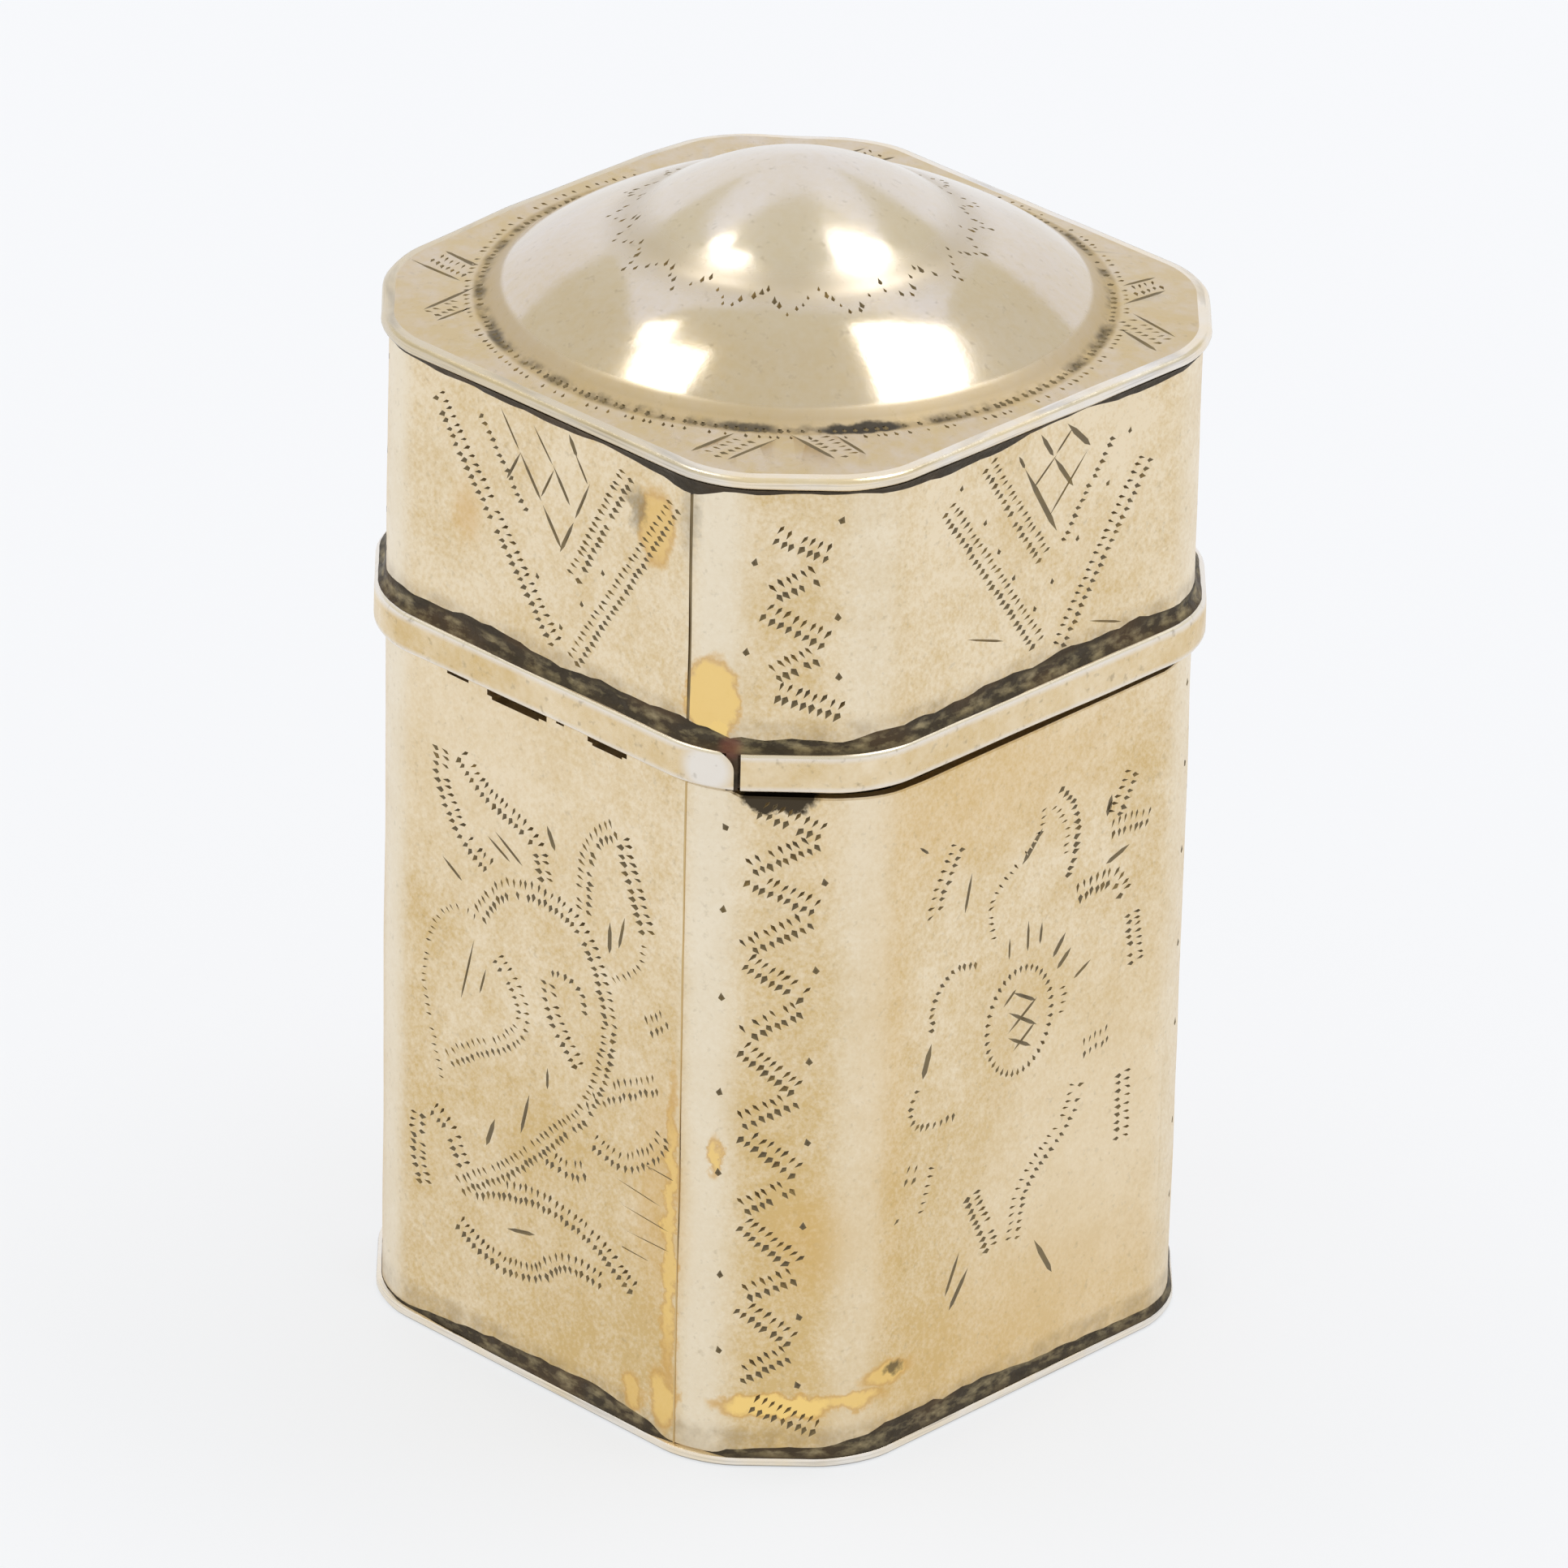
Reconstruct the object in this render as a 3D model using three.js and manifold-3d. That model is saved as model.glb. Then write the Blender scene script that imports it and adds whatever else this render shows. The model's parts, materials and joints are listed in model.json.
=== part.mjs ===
// A scent box: a small square silver box with canted corners and a domed lid that slips over an inner collar.
// It holds a sponge that is wetted with scent. Millimetres, +Z up, with the faces square to X and Y.
// The origin is the middle of the base's underside. The seams and the rim band's joint are at the +X -Y corner.
import * as THREE from "three";
import { mergeVertices } from "three/addons/utils/BufferGeometryUtils.js";
import Module from "manifold-3d";

const wasm = await Module();
wasm.setup();

// Plan of the box
const boxWidth = 31; // across opposite faces of the wall, outside
const cantLeg = 5.15; // how far each corner is cut back along a face
const bendRadius = 4.5; // outside radius of the soft bends
const leastBendRadius = 0.25; // what is left of a bend deep inside the box
const bendSteps = 3; // half the number of facets in a bend
const edgeSteps = 2; // facets in a plate's rounded rim

// Case
const sheet = 0.55; // thickness of the case's and the lid's wall strips
const seamGap = 0.3; // opening between a strip's two ends, which solder fills
const seamShift = 1.4; // from the corner of the cant along the face
const caseHeight = 33.7; // wall strip, standing on the base plate
const baseThickness = 0.5;
const baseLedge = 0.25; // how far the base plate stands out past the wall
const baseEdge = 0.12; // rounding of the base plate's rim
const collarSheet = 0.45;
const collarStand = 7; // how far the collar stands up out of the case
const collarSeat = 5; // how far the collar reaches down into the case
const collarFit = 0.12; // room between the collar and the walls around it

// Lid
const partingGap = 0.2; // open line between the case and the closed lid
const lidHeight = 14.65; // wall strip, under the top
const topThickness = 0.6;
const topLip = 0.35; // how far the top stands out past the lid's wall
const topEdge = 0.2; // rounding of the top's rim
const bandHeight = 1.9;
const bandProud = 0.57; // how far the rim band stands out past the lid's wall
const bandEdge = 0.2; // rounding of the rim band's outer edges
const bandJoint = 0.3; // opening between the rim band's two ends
const bandJointInset = 1.25; // from the seam's end of the cant

// Dome, raised out of the lid's top
const domeBorder = 1.5; // from the wall's outer face in to the dome's rim
const domeHeight = 7.2; // from the flat border up to the apex
const domeSheet = 0.45;
const bulgeWidth = 6.4; // the broad lower bulge, from the rim in to the step
const bulgeRise = 0.75; // how far the bulge heads steeply up from its rim
const bulgeLean = 0.45; // how far it leans in over that rise
const stepHeight = 3.7; // where the bulge gives way to the crown
const stepRun = 1.9; // how far the bulge eases off before the step
const stepSlope = 0.16; // rise over run of the bulge there
const crownFoot = 1.5; // how far the crown carries on steeply from the step
const crownSlope = 0.77; // rise over run of the crown there
const crownRun = 3.7; // how far the crown stays level round the apex
const domeSides = 64;
const domeSteps = 7; // facets along each of the dome's two curves

// Solder
const solderFilm = 0.04; // room between solder and the metal it joins
const solderEdge = 0.03; // thickness of a fillet's feathered edge
const baseSolderRise = 1;
const topSolderDrop = 0.45;
const bandSolderRise = 0.9;
const collarSolderDrop = 0.5;
const filletSteps = 4;

// Sponge
const spongeHeadroom = 2; // from the collar's solder down to the sponge
const spongeRoom = 0.45; // room between the sponge and the wall
const spongeSeat = 0.3; // room under the sponge
const spongeCrown = 3.2; // how far its sides draw in towards its top and bottom
const spongeCrownPower = 6; // how late the sides start to draw in
const spongeSteps = 10;

// Places that follow from the sizes
const caseTop = baseThickness + caseHeight;
const lidBottom = caseTop + partingGap;
const collarBottom = caseTop - collarSeat;
const collarHeight = collarSeat + collarStand;
const collarSolderBottom = collarBottom - solderFilm - collarSolderDrop;
const spongeBottom = baseThickness + spongeSeat;
const spongeTop = collarSolderBottom - spongeHeadroom;
const wallInside = -sheet; // plan growth of the walls' inner faces
const collarOutside = wallInside - collarFit;
const collarInside = collarOutside - collarSheet;
const domeRadius = boxWidth / 2 - domeBorder;
const stepRadius = domeRadius - bulgeWidth;

const EIGHTH = Math.PI / 4; // the eight sides of the plan are an eighth of a turn apart
const SIDES = 8;
const SEAM_FACE = 6; // the face that looks along -Y
const JOINT_CANT = 7; // the cant at the +X -Y corner
const OVERRUN = 1; // how far a cutter reaches past what it cuts

const silver = (color, roughness) => new THREE.MeshStandardMaterial({ color, roughness, metalness: 1 });
const tarnishedSheet = silver(0xe3cfa6, 0.34);
const brightSilver = silver(0xe9e2d2, 0.25);
const giltInside = silver(0xe6c985, 0.3);
const solderGold = silver(0xd9b765, 0.4);
const solderDark = new THREE.MeshStandardMaterial({ color: 0x4a4236, roughness: 0.75, metalness: 0.4 });
const spongeTan = new THREE.MeshStandardMaterial({ color: 0xc9a467, roughness: 0.95, metalness: 0 });

// Distance from the middle to one side of the plan, grown outwards by grow. Even sides are faces, odd ones cants.
function sideDistance(side, grow) {
  const isCant = side % 2 === 1;
  return (isCant ? (boxWidth - cantLeg) / Math.SQRT2 : boxWidth / 2) + grow;
}

function bendRadiusAt(grow) {
  return Math.max(bendRadius + grow, leastBendRadius);
}

// Centre of the bend that follows a side, where the two sides meet once both are moved in by the bend's radius.
function bendCentre(side, grow) {
  const here = sideDistance(side, grow) - bendRadiusAt(grow);
  const next = sideDistance((side + 1) % SIDES, grow) - bendRadiusAt(grow);
  const [a, b] = [side * EIGHTH, (side + 1) * EIGHTH];
  const x = here * Math.sin(b) - next * Math.sin(a);
  const y = next * Math.cos(a) - here * Math.cos(b);
  return new THREE.Vector2(x, y).divideScalar(Math.sin(EIGHTH));
}

// The box's plan, grown outwards by grow: a square with canted corners and rounded bends, anticlockwise.
function planShape(grow) {
  const shape = new THREE.Shape();
  for (let side = 0; side < SIDES; side++) {
    const centre = bendCentre(side, grow);
    shape.absarc(centre.x, centre.y, bendRadiusAt(grow), side * EIGHTH, (side + 1) * EIGHTH, false);
  }
  shape.closePath();
  return shape;
}

// A closed geometry as a solid that can be joined and cut.
function solid(geometry) {
  const bare = new THREE.BufferGeometry().setAttribute("position", geometry.getAttribute("position"));
  const merged = mergeVertices(bare.setIndex(geometry.getIndex()));
  const triVerts = new Uint32Array(merged.index.array);
  const vertProperties = merged.attributes.position.array;
  return new wasm.Manifold(new wasm.Mesh({ numProp: 3, vertProperties, triVerts }));
}

// A level slab of the plan, with the corners of its rim rounded by edge.
function slab(grow, bottom, height, edge = 0) {
  const options = { depth: height - 2 * edge, curveSegments: bendSteps, bevelEnabled: edge > 0 };
  Object.assign(options, { bevelThickness: edge, bevelSize: edge, bevelOffset: -edge, bevelSegments: edgeSteps });
  return solid(new THREE.ExtrudeGeometry(planShape(grow), options).translate(0, 0, bottom + edge));
}

// A strip bent round the plan, between an outer and an inner growth.
function strip(outer, inner, bottom, height) {
  const core = slab(inner, bottom - OVERRUN, height + 2 * OVERRUN);
  return slab(outer, bottom, height).subtract(core);
}

// A solid through level outlines of the plan, each { grow, z }, lowest first.
function loft(levels) {
  const outlines = levels.map(({ grow }) => planShape(grow).getPoints(bendSteps));
  outlines.forEach((points) => points.pop()); // the last point repeats the first
  const count = outlines[0].length;
  const positions = outlines.flatMap((points, level) => points.flatMap((p) => [p.x, p.y, levels[level].z]));
  const index = [];
  for (let level = 0; level + 1 < levels.length; level++) {
    for (let i = 0; i < count; i++) {
      const [low, lowNext] = [level * count + i, level * count + ((i + 1) % count)];
      index.push(low, lowNext, lowNext + count, low, lowNext + count, low + count);
    }
  }
  const last = (levels.length - 1) * count;
  for (const [a, b, c] of THREE.ShapeUtils.triangulateShape(outlines[0], [])) {
    index.push(a, c, b, last + a, last + b, last + c);
  }
  const geometry = new THREE.BufferGeometry().setIndex(index);
  geometry.setAttribute("position", new THREE.Float32BufferAttribute(positions, 3));
  return solid(geometry);
}

// Levels of a hollow fillet, thickest at its foot and feathered out over rise. A negative rise hangs down, and a
// negative reach stands inwards.
function filletLevels(seat, reach, foot, rise) {
  const edge = Math.sign(reach) * solderEdge;
  const levels = [];
  for (let step = 0; step <= filletSteps; step++) {
    const share = step / filletSteps;
    levels.push({ grow: seat + edge + (reach - edge) * (1 - share) ** 2, z: foot + rise * share });
  }
  return rise < 0 ? levels.reverse() : levels;
}

// Solder run round the outside of a wall, in the corner with a ledge that stands out from the wall.
function outsideFillet(ledge, foot, rise) {
  const bottom = Math.min(foot, foot + rise);
  const core = slab(solderFilm, bottom - OVERRUN, Math.abs(rise) + 2 * OVERRUN);
  return loft(filletLevels(solderFilm, ledge - solderFilm, foot, rise)).subtract(core);
}

// A standing cutter through what lies on one side between two growths, shifted along the side.
function slot(width, side, shift, inner, outer, bottom, height) {
  const box = new THREE.BoxGeometry(outer - inner + 2 * OVERRUN, width, height + 2 * OVERRUN);
  box.translate(sideDistance(side, (inner + outer) / 2), shift, bottom + height / 2);
  return solid(box.rotateZ(side * EIGHTH));
}

// A wall strip with its open seam, and the solder that fills the seam.
function wallAndSeam(bottom, height) {
  const ring = strip(0, wallInside, bottom, height);
  const shift = boxWidth / 2 - cantLeg - seamShift;
  const cut = (width) => slot(width, SEAM_FACE, shift, wallInside, 0, bottom, height);
  const wall = ring.subtract(cut(seamGap));
  const solder = ring.intersect(cut(seamGap - 2 * solderFilm));
  return { wall, solder };
}

// The dome's outline from rim to apex, moved inwards by inset: a broad lower bulge, a step, then a round crown.
function domeOutline(inset, bottom) {
  const rim = new THREE.Vector2(domeRadius - inset, bottom);
  const step = new THREE.Vector2(stepRadius - inset / 2, bottom + stepHeight - inset);
  const apex = new THREE.Vector2(0, bottom + domeHeight - inset);
  const upFromRim = new THREE.Vector2(rim.x - bulgeLean, rim.y + bulgeRise);
  const belowStep = new THREE.Vector2(step.x + stepRun, step.y - stepRun * stepSlope);
  const aboveStep = new THREE.Vector2(step.x - crownFoot, step.y + crownFoot * crownSlope);
  const outFromApex = new THREE.Vector2(crownRun, apex.y);
  const bulge = new THREE.CubicBezierCurve(rim, upFromRim, belowStep, step);
  const crown = new THREE.CubicBezierCurve(step, aboveStep, outFromApex, apex);
  return [...bulge.getPoints(domeSteps), ...crown.getPoints(domeSteps).slice(1)];
}

// All that lies under the dome's outline, down to a flat foot, turned round the box's middle.
function domeSolid(inset, foot, bottom) {
  const outline = domeOutline(inset, bottom);
  const profile = [new THREE.Vector2(0, foot), new THREE.Vector2(outline[0].x, foot), ...outline];
  return solid(new THREE.LatheGeometry(profile, domeSides).rotateX(Math.PI / 2));
}

// The lid's top: a flat border with the stepped dome raised out of the same sheet.
function lidTop() {
  const border = slab(topLip, lidHeight, topThickness, topEdge);
  const borderTop = lidHeight + topThickness;
  const dome = domeSolid(0, lidHeight + topThickness / 2, borderTop);
  const hollow = domeSolid(domeSheet, lidHeight - OVERRUN, borderTop);
  return border.add(dome).subtract(hollow);
}

// The band round the lid's lower edge, with a butt joint on one canted corner.
function rimBand() {
  const core = slab(solderFilm, -OVERRUN, bandHeight + 2 * OVERRUN);
  const ring = slab(bandProud, 0, bandHeight, bandEdge).subtract(core);
  const shift = bandJointInset - cantLeg / Math.SQRT2;
  return ring.subtract(slot(bandJoint, JOINT_CANT, shift, 0, bandProud, 0, bandHeight));
}

// Solder under the collar's lower edge, inside the case.
function collarSolder() {
  const seat = wallInside - solderFilm;
  const ring = slab(seat, collarSolderBottom, collarSolderDrop);
  const foot = collarSolderBottom + collarSolderDrop;
  const levels = filletLevels(seat, collarInside - seat, foot, -collarSolderDrop);
  const below = { grow: levels[0].grow, z: collarSolderBottom - OVERRUN };
  const above = { grow: levels.at(-1).grow, z: foot + OVERRUN };
  return ring.subtract(loft([below, ...levels, above]));
}

// The sponge: a block that fills the case's plan and draws in round its top and bottom.
function sponge() {
  const levels = [];
  for (let step = 0; step <= spongeSteps; step++) {
    const share = step / spongeSteps;
    const drawnIn = spongeCrown * Math.abs(2 * share - 1) ** spongeCrownPower;
    levels.push({ grow: wallInside - spongeRoom - drawnIn, z: THREE.MathUtils.lerp(spongeBottom, spongeTop, share) });
  }
  return loft(levels);
}

function part(name, made, material) {
  const { vertProperties, triVerts } = made.getMesh();
  const geometry = new THREE.BufferGeometry().setIndex(new THREE.BufferAttribute(triVerts, 1));
  geometry.setAttribute("position", new THREE.BufferAttribute(vertProperties, 3));
  const mesh = new THREE.Mesh(geometry.toNonIndexed(), material);
  mesh.geometry.computeVertexNormals();
  mesh.name = name;
  return mesh;
}

function buildCase() {
  const group = new THREE.Group();
  const { wall, solder } = wallAndSeam(baseThickness, caseHeight);
  group.add(part("case_wall", wall, tarnishedSheet));
  group.add(part("case_seam_solder", solder, solderGold));
  group.add(part("base_plate", slab(baseLedge, 0, baseThickness, baseEdge), brightSilver));
  group.add(part("base_solder", outsideFillet(baseLedge, baseThickness + solderFilm, baseSolderRise), solderDark));
  group.add(part("inner_collar", strip(collarOutside, collarInside, collarBottom, collarHeight), giltInside));
  group.add(part("collar_solder", collarSolder(), solderDark));
  group.add(part("scent_sponge", sponge(), spongeTan));
  return group;
}

// The lid, with its lower edge at its own zero height.
function buildLid() {
  const group = new THREE.Group();
  const { wall, solder } = wallAndSeam(0, lidHeight);
  group.add(part("lid_wall", wall, tarnishedSheet));
  group.add(part("lid_seam_solder", solder, solderGold));
  group.add(part("lid_top", lidTop(), tarnishedSheet));
  group.add(part("lid_top_solder", outsideFillet(topLip, lidHeight - solderFilm, -topSolderDrop), solderDark));
  group.add(part("rim_band", rimBand(), brightSilver));
  group.add(part("rim_band_solder", outsideFillet(bandProud, bandHeight + solderFilm, bandSolderRise), solderDark));
  group.position.z = lidBottom;
  return group;
}

const scentBox = new THREE.Group();
scentBox.add(buildCase(), buildLid());

export default scentBox;
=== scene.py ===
"""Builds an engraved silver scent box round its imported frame, with a plain white stage and a camera."""

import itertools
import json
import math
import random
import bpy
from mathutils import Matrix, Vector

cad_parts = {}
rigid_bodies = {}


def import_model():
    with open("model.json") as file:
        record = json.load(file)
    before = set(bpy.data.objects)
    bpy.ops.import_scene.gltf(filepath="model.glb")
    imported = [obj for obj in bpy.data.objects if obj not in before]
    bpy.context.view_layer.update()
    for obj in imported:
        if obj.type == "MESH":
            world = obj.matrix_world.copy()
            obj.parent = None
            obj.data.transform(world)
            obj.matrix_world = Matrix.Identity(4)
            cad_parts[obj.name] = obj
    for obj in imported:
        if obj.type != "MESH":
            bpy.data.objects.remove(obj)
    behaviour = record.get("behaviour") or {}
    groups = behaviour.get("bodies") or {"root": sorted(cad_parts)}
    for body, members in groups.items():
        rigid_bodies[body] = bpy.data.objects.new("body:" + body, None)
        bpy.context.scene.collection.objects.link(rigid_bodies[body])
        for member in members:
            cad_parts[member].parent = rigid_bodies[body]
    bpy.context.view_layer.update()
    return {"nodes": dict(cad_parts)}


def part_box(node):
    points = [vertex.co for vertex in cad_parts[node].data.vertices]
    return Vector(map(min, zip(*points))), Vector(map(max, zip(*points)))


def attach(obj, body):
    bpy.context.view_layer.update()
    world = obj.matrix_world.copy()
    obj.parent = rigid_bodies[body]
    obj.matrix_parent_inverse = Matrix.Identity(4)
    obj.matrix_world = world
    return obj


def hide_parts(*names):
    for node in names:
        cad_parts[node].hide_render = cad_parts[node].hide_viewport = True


bl_info = {
    "name": "Scent Box",
    "version": (1, 0, 0),
    "blender": (4, 5, 0),
    "location": "3D View > Sidebar > Scent Box",
    "description": "Builds an engraved silver scent box round its packed frame",
    "category": "Object",
}

import bmesh
import bpy
from mathutils import Matrix, Vector, noise

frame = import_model()

MM = 0.001

# Heights and outer places that the frame gives, in metres.
CASE_LOW, CASE_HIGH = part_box("case_wall")
LID_LOW, LID_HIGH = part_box("lid_wall")
BASE_LOW, BASE_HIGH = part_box("base_plate")
TOP_LOW, TOP_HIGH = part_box("lid_top")
BAND_LOW, BAND_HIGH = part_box("rim_band")
COLLAR_LOW, COLLAR_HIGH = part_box("inner_collar")
SPONGE_LOW, SPONGE_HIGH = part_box("scent_sponge")

# Turns about the box's axis from the front left face to each face and cant.
FACE_TURNS = [math.radians(angle) for angle in (0, 90, 180, 270)]
CANT_TURNS = [math.radians(angle) for angle in (45, 135, 225, 315)]
# One dent of the hand-beaten walls, the lid's seam beside the case's, and the films in the engraved cuts.
DENT_SIZE = 9 * MM
LID_SEAM = 3.2
CUT_FILMS = ("oxide_in_cuts", "thin_oxide_in_cuts")


def linear(colour):
    """Linear light values of an sRGB colour written as six hex digits."""
    values = [int(colour[place:place + 2], 16) / 255 for place in (0, 2, 4)]
    return [v / 12.92 if v <= 0.04045 else ((v + 0.055) / 1.055) ** 2.4 for v in values]


def rgba(colour):
    """The four values of a colour socket for six hex digits or for three linear values."""
    values = linear(colour) if isinstance(colour, str) else list(colour)
    return (*values, 1.0)


def length(name, description, default):
    """A length that the user can change, in metres."""
    return bpy.props.FloatProperty(
        name=name, description=description, default=default, unit="LENGTH", precision=5)


def colour(name, description, default):
    """A colour that the user can change, from six hex digits."""
    return bpy.props.FloatVectorProperty(
        name=name, description=description, default=linear(default), subtype="COLOR", size=3, min=0, max=1)


class ScentBoxSizes(bpy.types.PropertyGroup):
    """Sizes of the box and of its engraving."""

    width: length("Width", "Across two opposite faces of the wall", CASE_HIGH.x - CASE_LOW.x)
    cant_leg: length("Cant leg", "What a cant takes off each of its two faces", 5.15 * MM)
    bend_radius: length("Bend radius", "Outer radius where a face bends into a cant", 4.5 * MM)
    sheet: length("Wall sheet", "Thickness of the case's and the lid's wall", 0.55 * MM)
    collar_sheet: length("Collar sheet", "Thickness of the inner collar", 0.45 * MM)
    dome_sheet: length("Dome sheet", "Thickness of the raised dome", 0.45 * MM)
    dome_radius: length("Dome radius", "From the axis to the dome's foot", 14 * MM)
    dome_step_radius: length("Dome step radius", "From the axis to the crease under the crown", 7.6 * MM)
    dome_step_rise: length("Dome step rise", "Height of the step above the border", 3.7 * MM)
    top_sheet: length("Top sheet", "Thickness of the lid's flat border", 0.6 * MM)
    border_rise: length("Border rise", "How far the border rises from its lip to the dome's foot", 0.3 * MM)
    seam_place: length("Seam place", "Where the wall's seam is, along the front left face", 8.95 * MM)
    seam_gap: length("Seam gap", "Width of the case's seam at the outside of the wall", 0.05 * MM)
    band_joint: length("Band joint", "Width of the gap between the rim band's ends", 0.3 * MM)
    joint_place: length("Band joint place", "Where that gap is, along the front cant", -2.39 * MM)
    nick_pitch: length("Nick pitch", "From one engraved nick to the next in its row", 0.39 * MM)
    nick_gap: length("Nick row gap", "Between the two rows of a rocked line", 0.62 * MM)
    dent_depth: length("Dent depth", "How far the hand-beaten sheet strays from flat", 0.16 * MM)


class ScentBoxFinish(bpy.types.PropertyGroup):
    """Colours of the box's metals, solders and sponge."""

    pale_silver: colour("Pale silver", "Thinly tarnished sheet", "F2E1C2")
    gold_tarnish: colour("Gold tarnish", "Sheet under a thicker tarnish", "DABD85")
    amber_stain: colour("Amber stain", "Stains beside the seam and on the front cant", "FBD888")
    dome_silver: colour("Dome silver", "Raised dome where it is rubbed clean", "DDD2C6")
    dome_film: colour("Dome film", "Gold film on the dome and its border", "D6C29A")
    # On the rim band's edges this colour also carries a painted highlight.
    bright_silver: colour("Bright silver", "Edges rubbed by handling", "F0EBE4")
    cut_oxide: colour("Cut oxide", "Dark film in the engraved cuts", "786A50")
    dark_solder: colour("Dark solder", "Solder blackened by tarnish", "4A4134")
    # Rubbed spots, which also make the painted highlight along the middle of each solder fillet.
    solder_glint: colour("Solder glint", "Rubbed spots on the dark solder", "A99B78")
    seam_solder: colour("Seam solder", "Golden solder in the seams", "D9BE8A")
    gilt: colour("Gilt", "Inside of the box", "E8CB86")
    sponge: colour("Sponge", "Dry natural sponge", "C9A468")


def sizes():
    """The sizes that the sidebar holds."""
    return bpy.context.scene.scent_box_sizes


def finish():
    """The colours that the sidebar holds."""
    return bpy.context.scene.scent_box_finish


def cant_away():
    """From the box's axis to the flat of a cant."""
    return (sizes().width - sizes().cant_leg) / math.sqrt(2)


def joint_point(height, shift=0.0):
    """Where the rim band's joint is on the front cant, at a height, or a point beside it."""
    place = Vector((sizes().joint_place + shift, -cant_away(), height))
    return Matrix.Rotation(CANT_TURNS[0], 3, "Z") @ place


def corner_mm(point):
    """A point's measure along the front corner, from the left face to the right one, in mm."""
    return (point.x + point.y) / math.sqrt(2) / MM


# Plan rings and lofts: every wall, fillet and plate follows the same canted square.

BEND_STEPS = 7
RING_STEP = 0.62 * MM


def deselect():
    """Nothing in the scene stays selected."""
    bpy.ops.object.select_all(action="DESELECT")


def pick(piece):
    """Makes a piece the one that is selected and active."""
    deselect()
    piece.select_set(True)
    bpy.context.view_layer.objects.active = piece


def begin(name):
    """An empty mesh at the origin, in edit mode, ready to take rings."""
    deselect()
    bpy.ops.mesh.primitive_plane_add(size=MM)
    piece = bpy.context.object
    piece.name = name
    piece.data.name = name
    bpy.ops.object.mode_set(mode="EDIT")
    bpy.ops.mesh.delete(type="VERT")
    return piece


def ring_tags(piece):
    """The mesh under edit and the layer that numbers its rings."""
    mesh = bmesh.from_edit_mesh(piece.data)
    if mesh.verts.layers.int.get("ring") is None:
        mesh.verts.layers.int.new("ring")
    return mesh, mesh.verts.layers.int["ring"]


def tag_selected(piece, tag):
    """Numbers the selected ring."""
    mesh, layer = ring_tags(piece)
    for vert in mesh.verts:
        if vert.select:
            vert[layer] = tag
    bmesh.update_edit_mesh(piece.data)


def select_tagged(piece, *tags):
    """Selects the rings with these numbers and nothing else."""
    bpy.ops.mesh.select_all(action="DESELECT")
    mesh, layer = ring_tags(piece)
    for vert in mesh.verts:
        vert.select = vert[layer] in tags
    mesh.select_flush_mode()
    bmesh.update_edit_mesh(piece.data)


def plan_ring(piece, tag, grow, height):
    """Adds the box's plan as one closed line, moved outwards by grow, and numbers it."""
    box = sizes()
    corner = box.bend_radius * math.tan(math.pi / 8)
    face_cuts = round((box.width - 2 * box.cant_leg - 2 * corner) / RING_STEP) - 1
    cant_cuts = round((math.sqrt(2) * box.cant_leg - 2 * corner) / RING_STEP) - 1
    bpy.ops.mesh.select_all(action="DESELECT")
    bpy.ops.mesh.primitive_plane_add(size=box.width + 2 * grow, location=(0, 0, height))
    cant = box.cant_leg + grow * (2 - math.sqrt(2))
    bpy.ops.mesh.bevel(offset_type="ABSOLUTE", offset=cant, affect="VERTICES")
    tangent = corner * (1 + grow / box.bend_radius)
    bpy.ops.mesh.bevel(offset_type="ABSOLUTE", offset=tangent, segments=BEND_STEPS, affect="VERTICES")
    tag_selected(piece, tag)
    bpy.ops.mesh.delete(type="ONLY_FACE")
    for cuts, low, high in ((face_cuts, box.width / 3, box.width), (cant_cuts, 2 * RING_STEP, box.width / 3)):
        bpy.ops.mesh.select_all(action="DESELECT")
        mesh, layer = ring_tags(piece)
        for edge in mesh.edges:
            if edge.verts[0][layer] == tag and low < edge.calc_length() < high:
                edge.select_set(True)
        bmesh.update_edit_mesh(piece.data)
        bpy.ops.mesh.subdivide(number_cuts=cuts)
    bpy.ops.mesh.select_linked()
    tag_selected(piece, tag)


def round_ring(radius, height, count):
    """Adds a circle as one closed line."""
    bpy.ops.mesh.select_all(action="DESELECT")
    bpy.ops.mesh.primitive_circle_add(vertices=count, radius=radius, location=(0, 0, height))


def loft(name, levels, closed=True):
    """A body whose section runs through levels of (grow, height), left in object mode."""
    piece = begin(name)
    for number, (grow, height) in enumerate(levels, 1):
        before = levels[number - 2]
        if number > 1 and before[0] == grow:
            select_tagged(piece, number - 1)
            bpy.ops.mesh.extrude_edges_move(TRANSFORM_OT_translate={"value": (0, 0, height - before[1])})
            tag_selected(piece, number)
        else:
            plan_ring(piece, number, grow, height)
            if number > 1:
                select_tagged(piece, number - 1, number)
                bpy.ops.mesh.bridge_edge_loops()
    if closed:
        select_tagged(piece, 1, len(levels))
        bpy.ops.mesh.bridge_edge_loops()
    face_outwards()
    bpy.ops.object.mode_set(mode="OBJECT")
    return piece


def face_outwards():
    """Turns all faces of the mesh under edit outwards."""
    bpy.ops.mesh.select_all(action="SELECT")
    bpy.ops.mesh.normals_make_consistent(inside=False)


def steps(low, high, step):
    """Evenly spaced heights from low to high, both included, about step apart."""
    count = max(1, round((high - low) / step))
    return [low + (high - low) * place / count for place in range(count + 1)]


def apply_modifier(piece, modifier):
    """Makes a modifier part of the mesh."""
    pick(piece)
    bpy.ops.object.modifier_apply(modifier=modifier.name)


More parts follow.
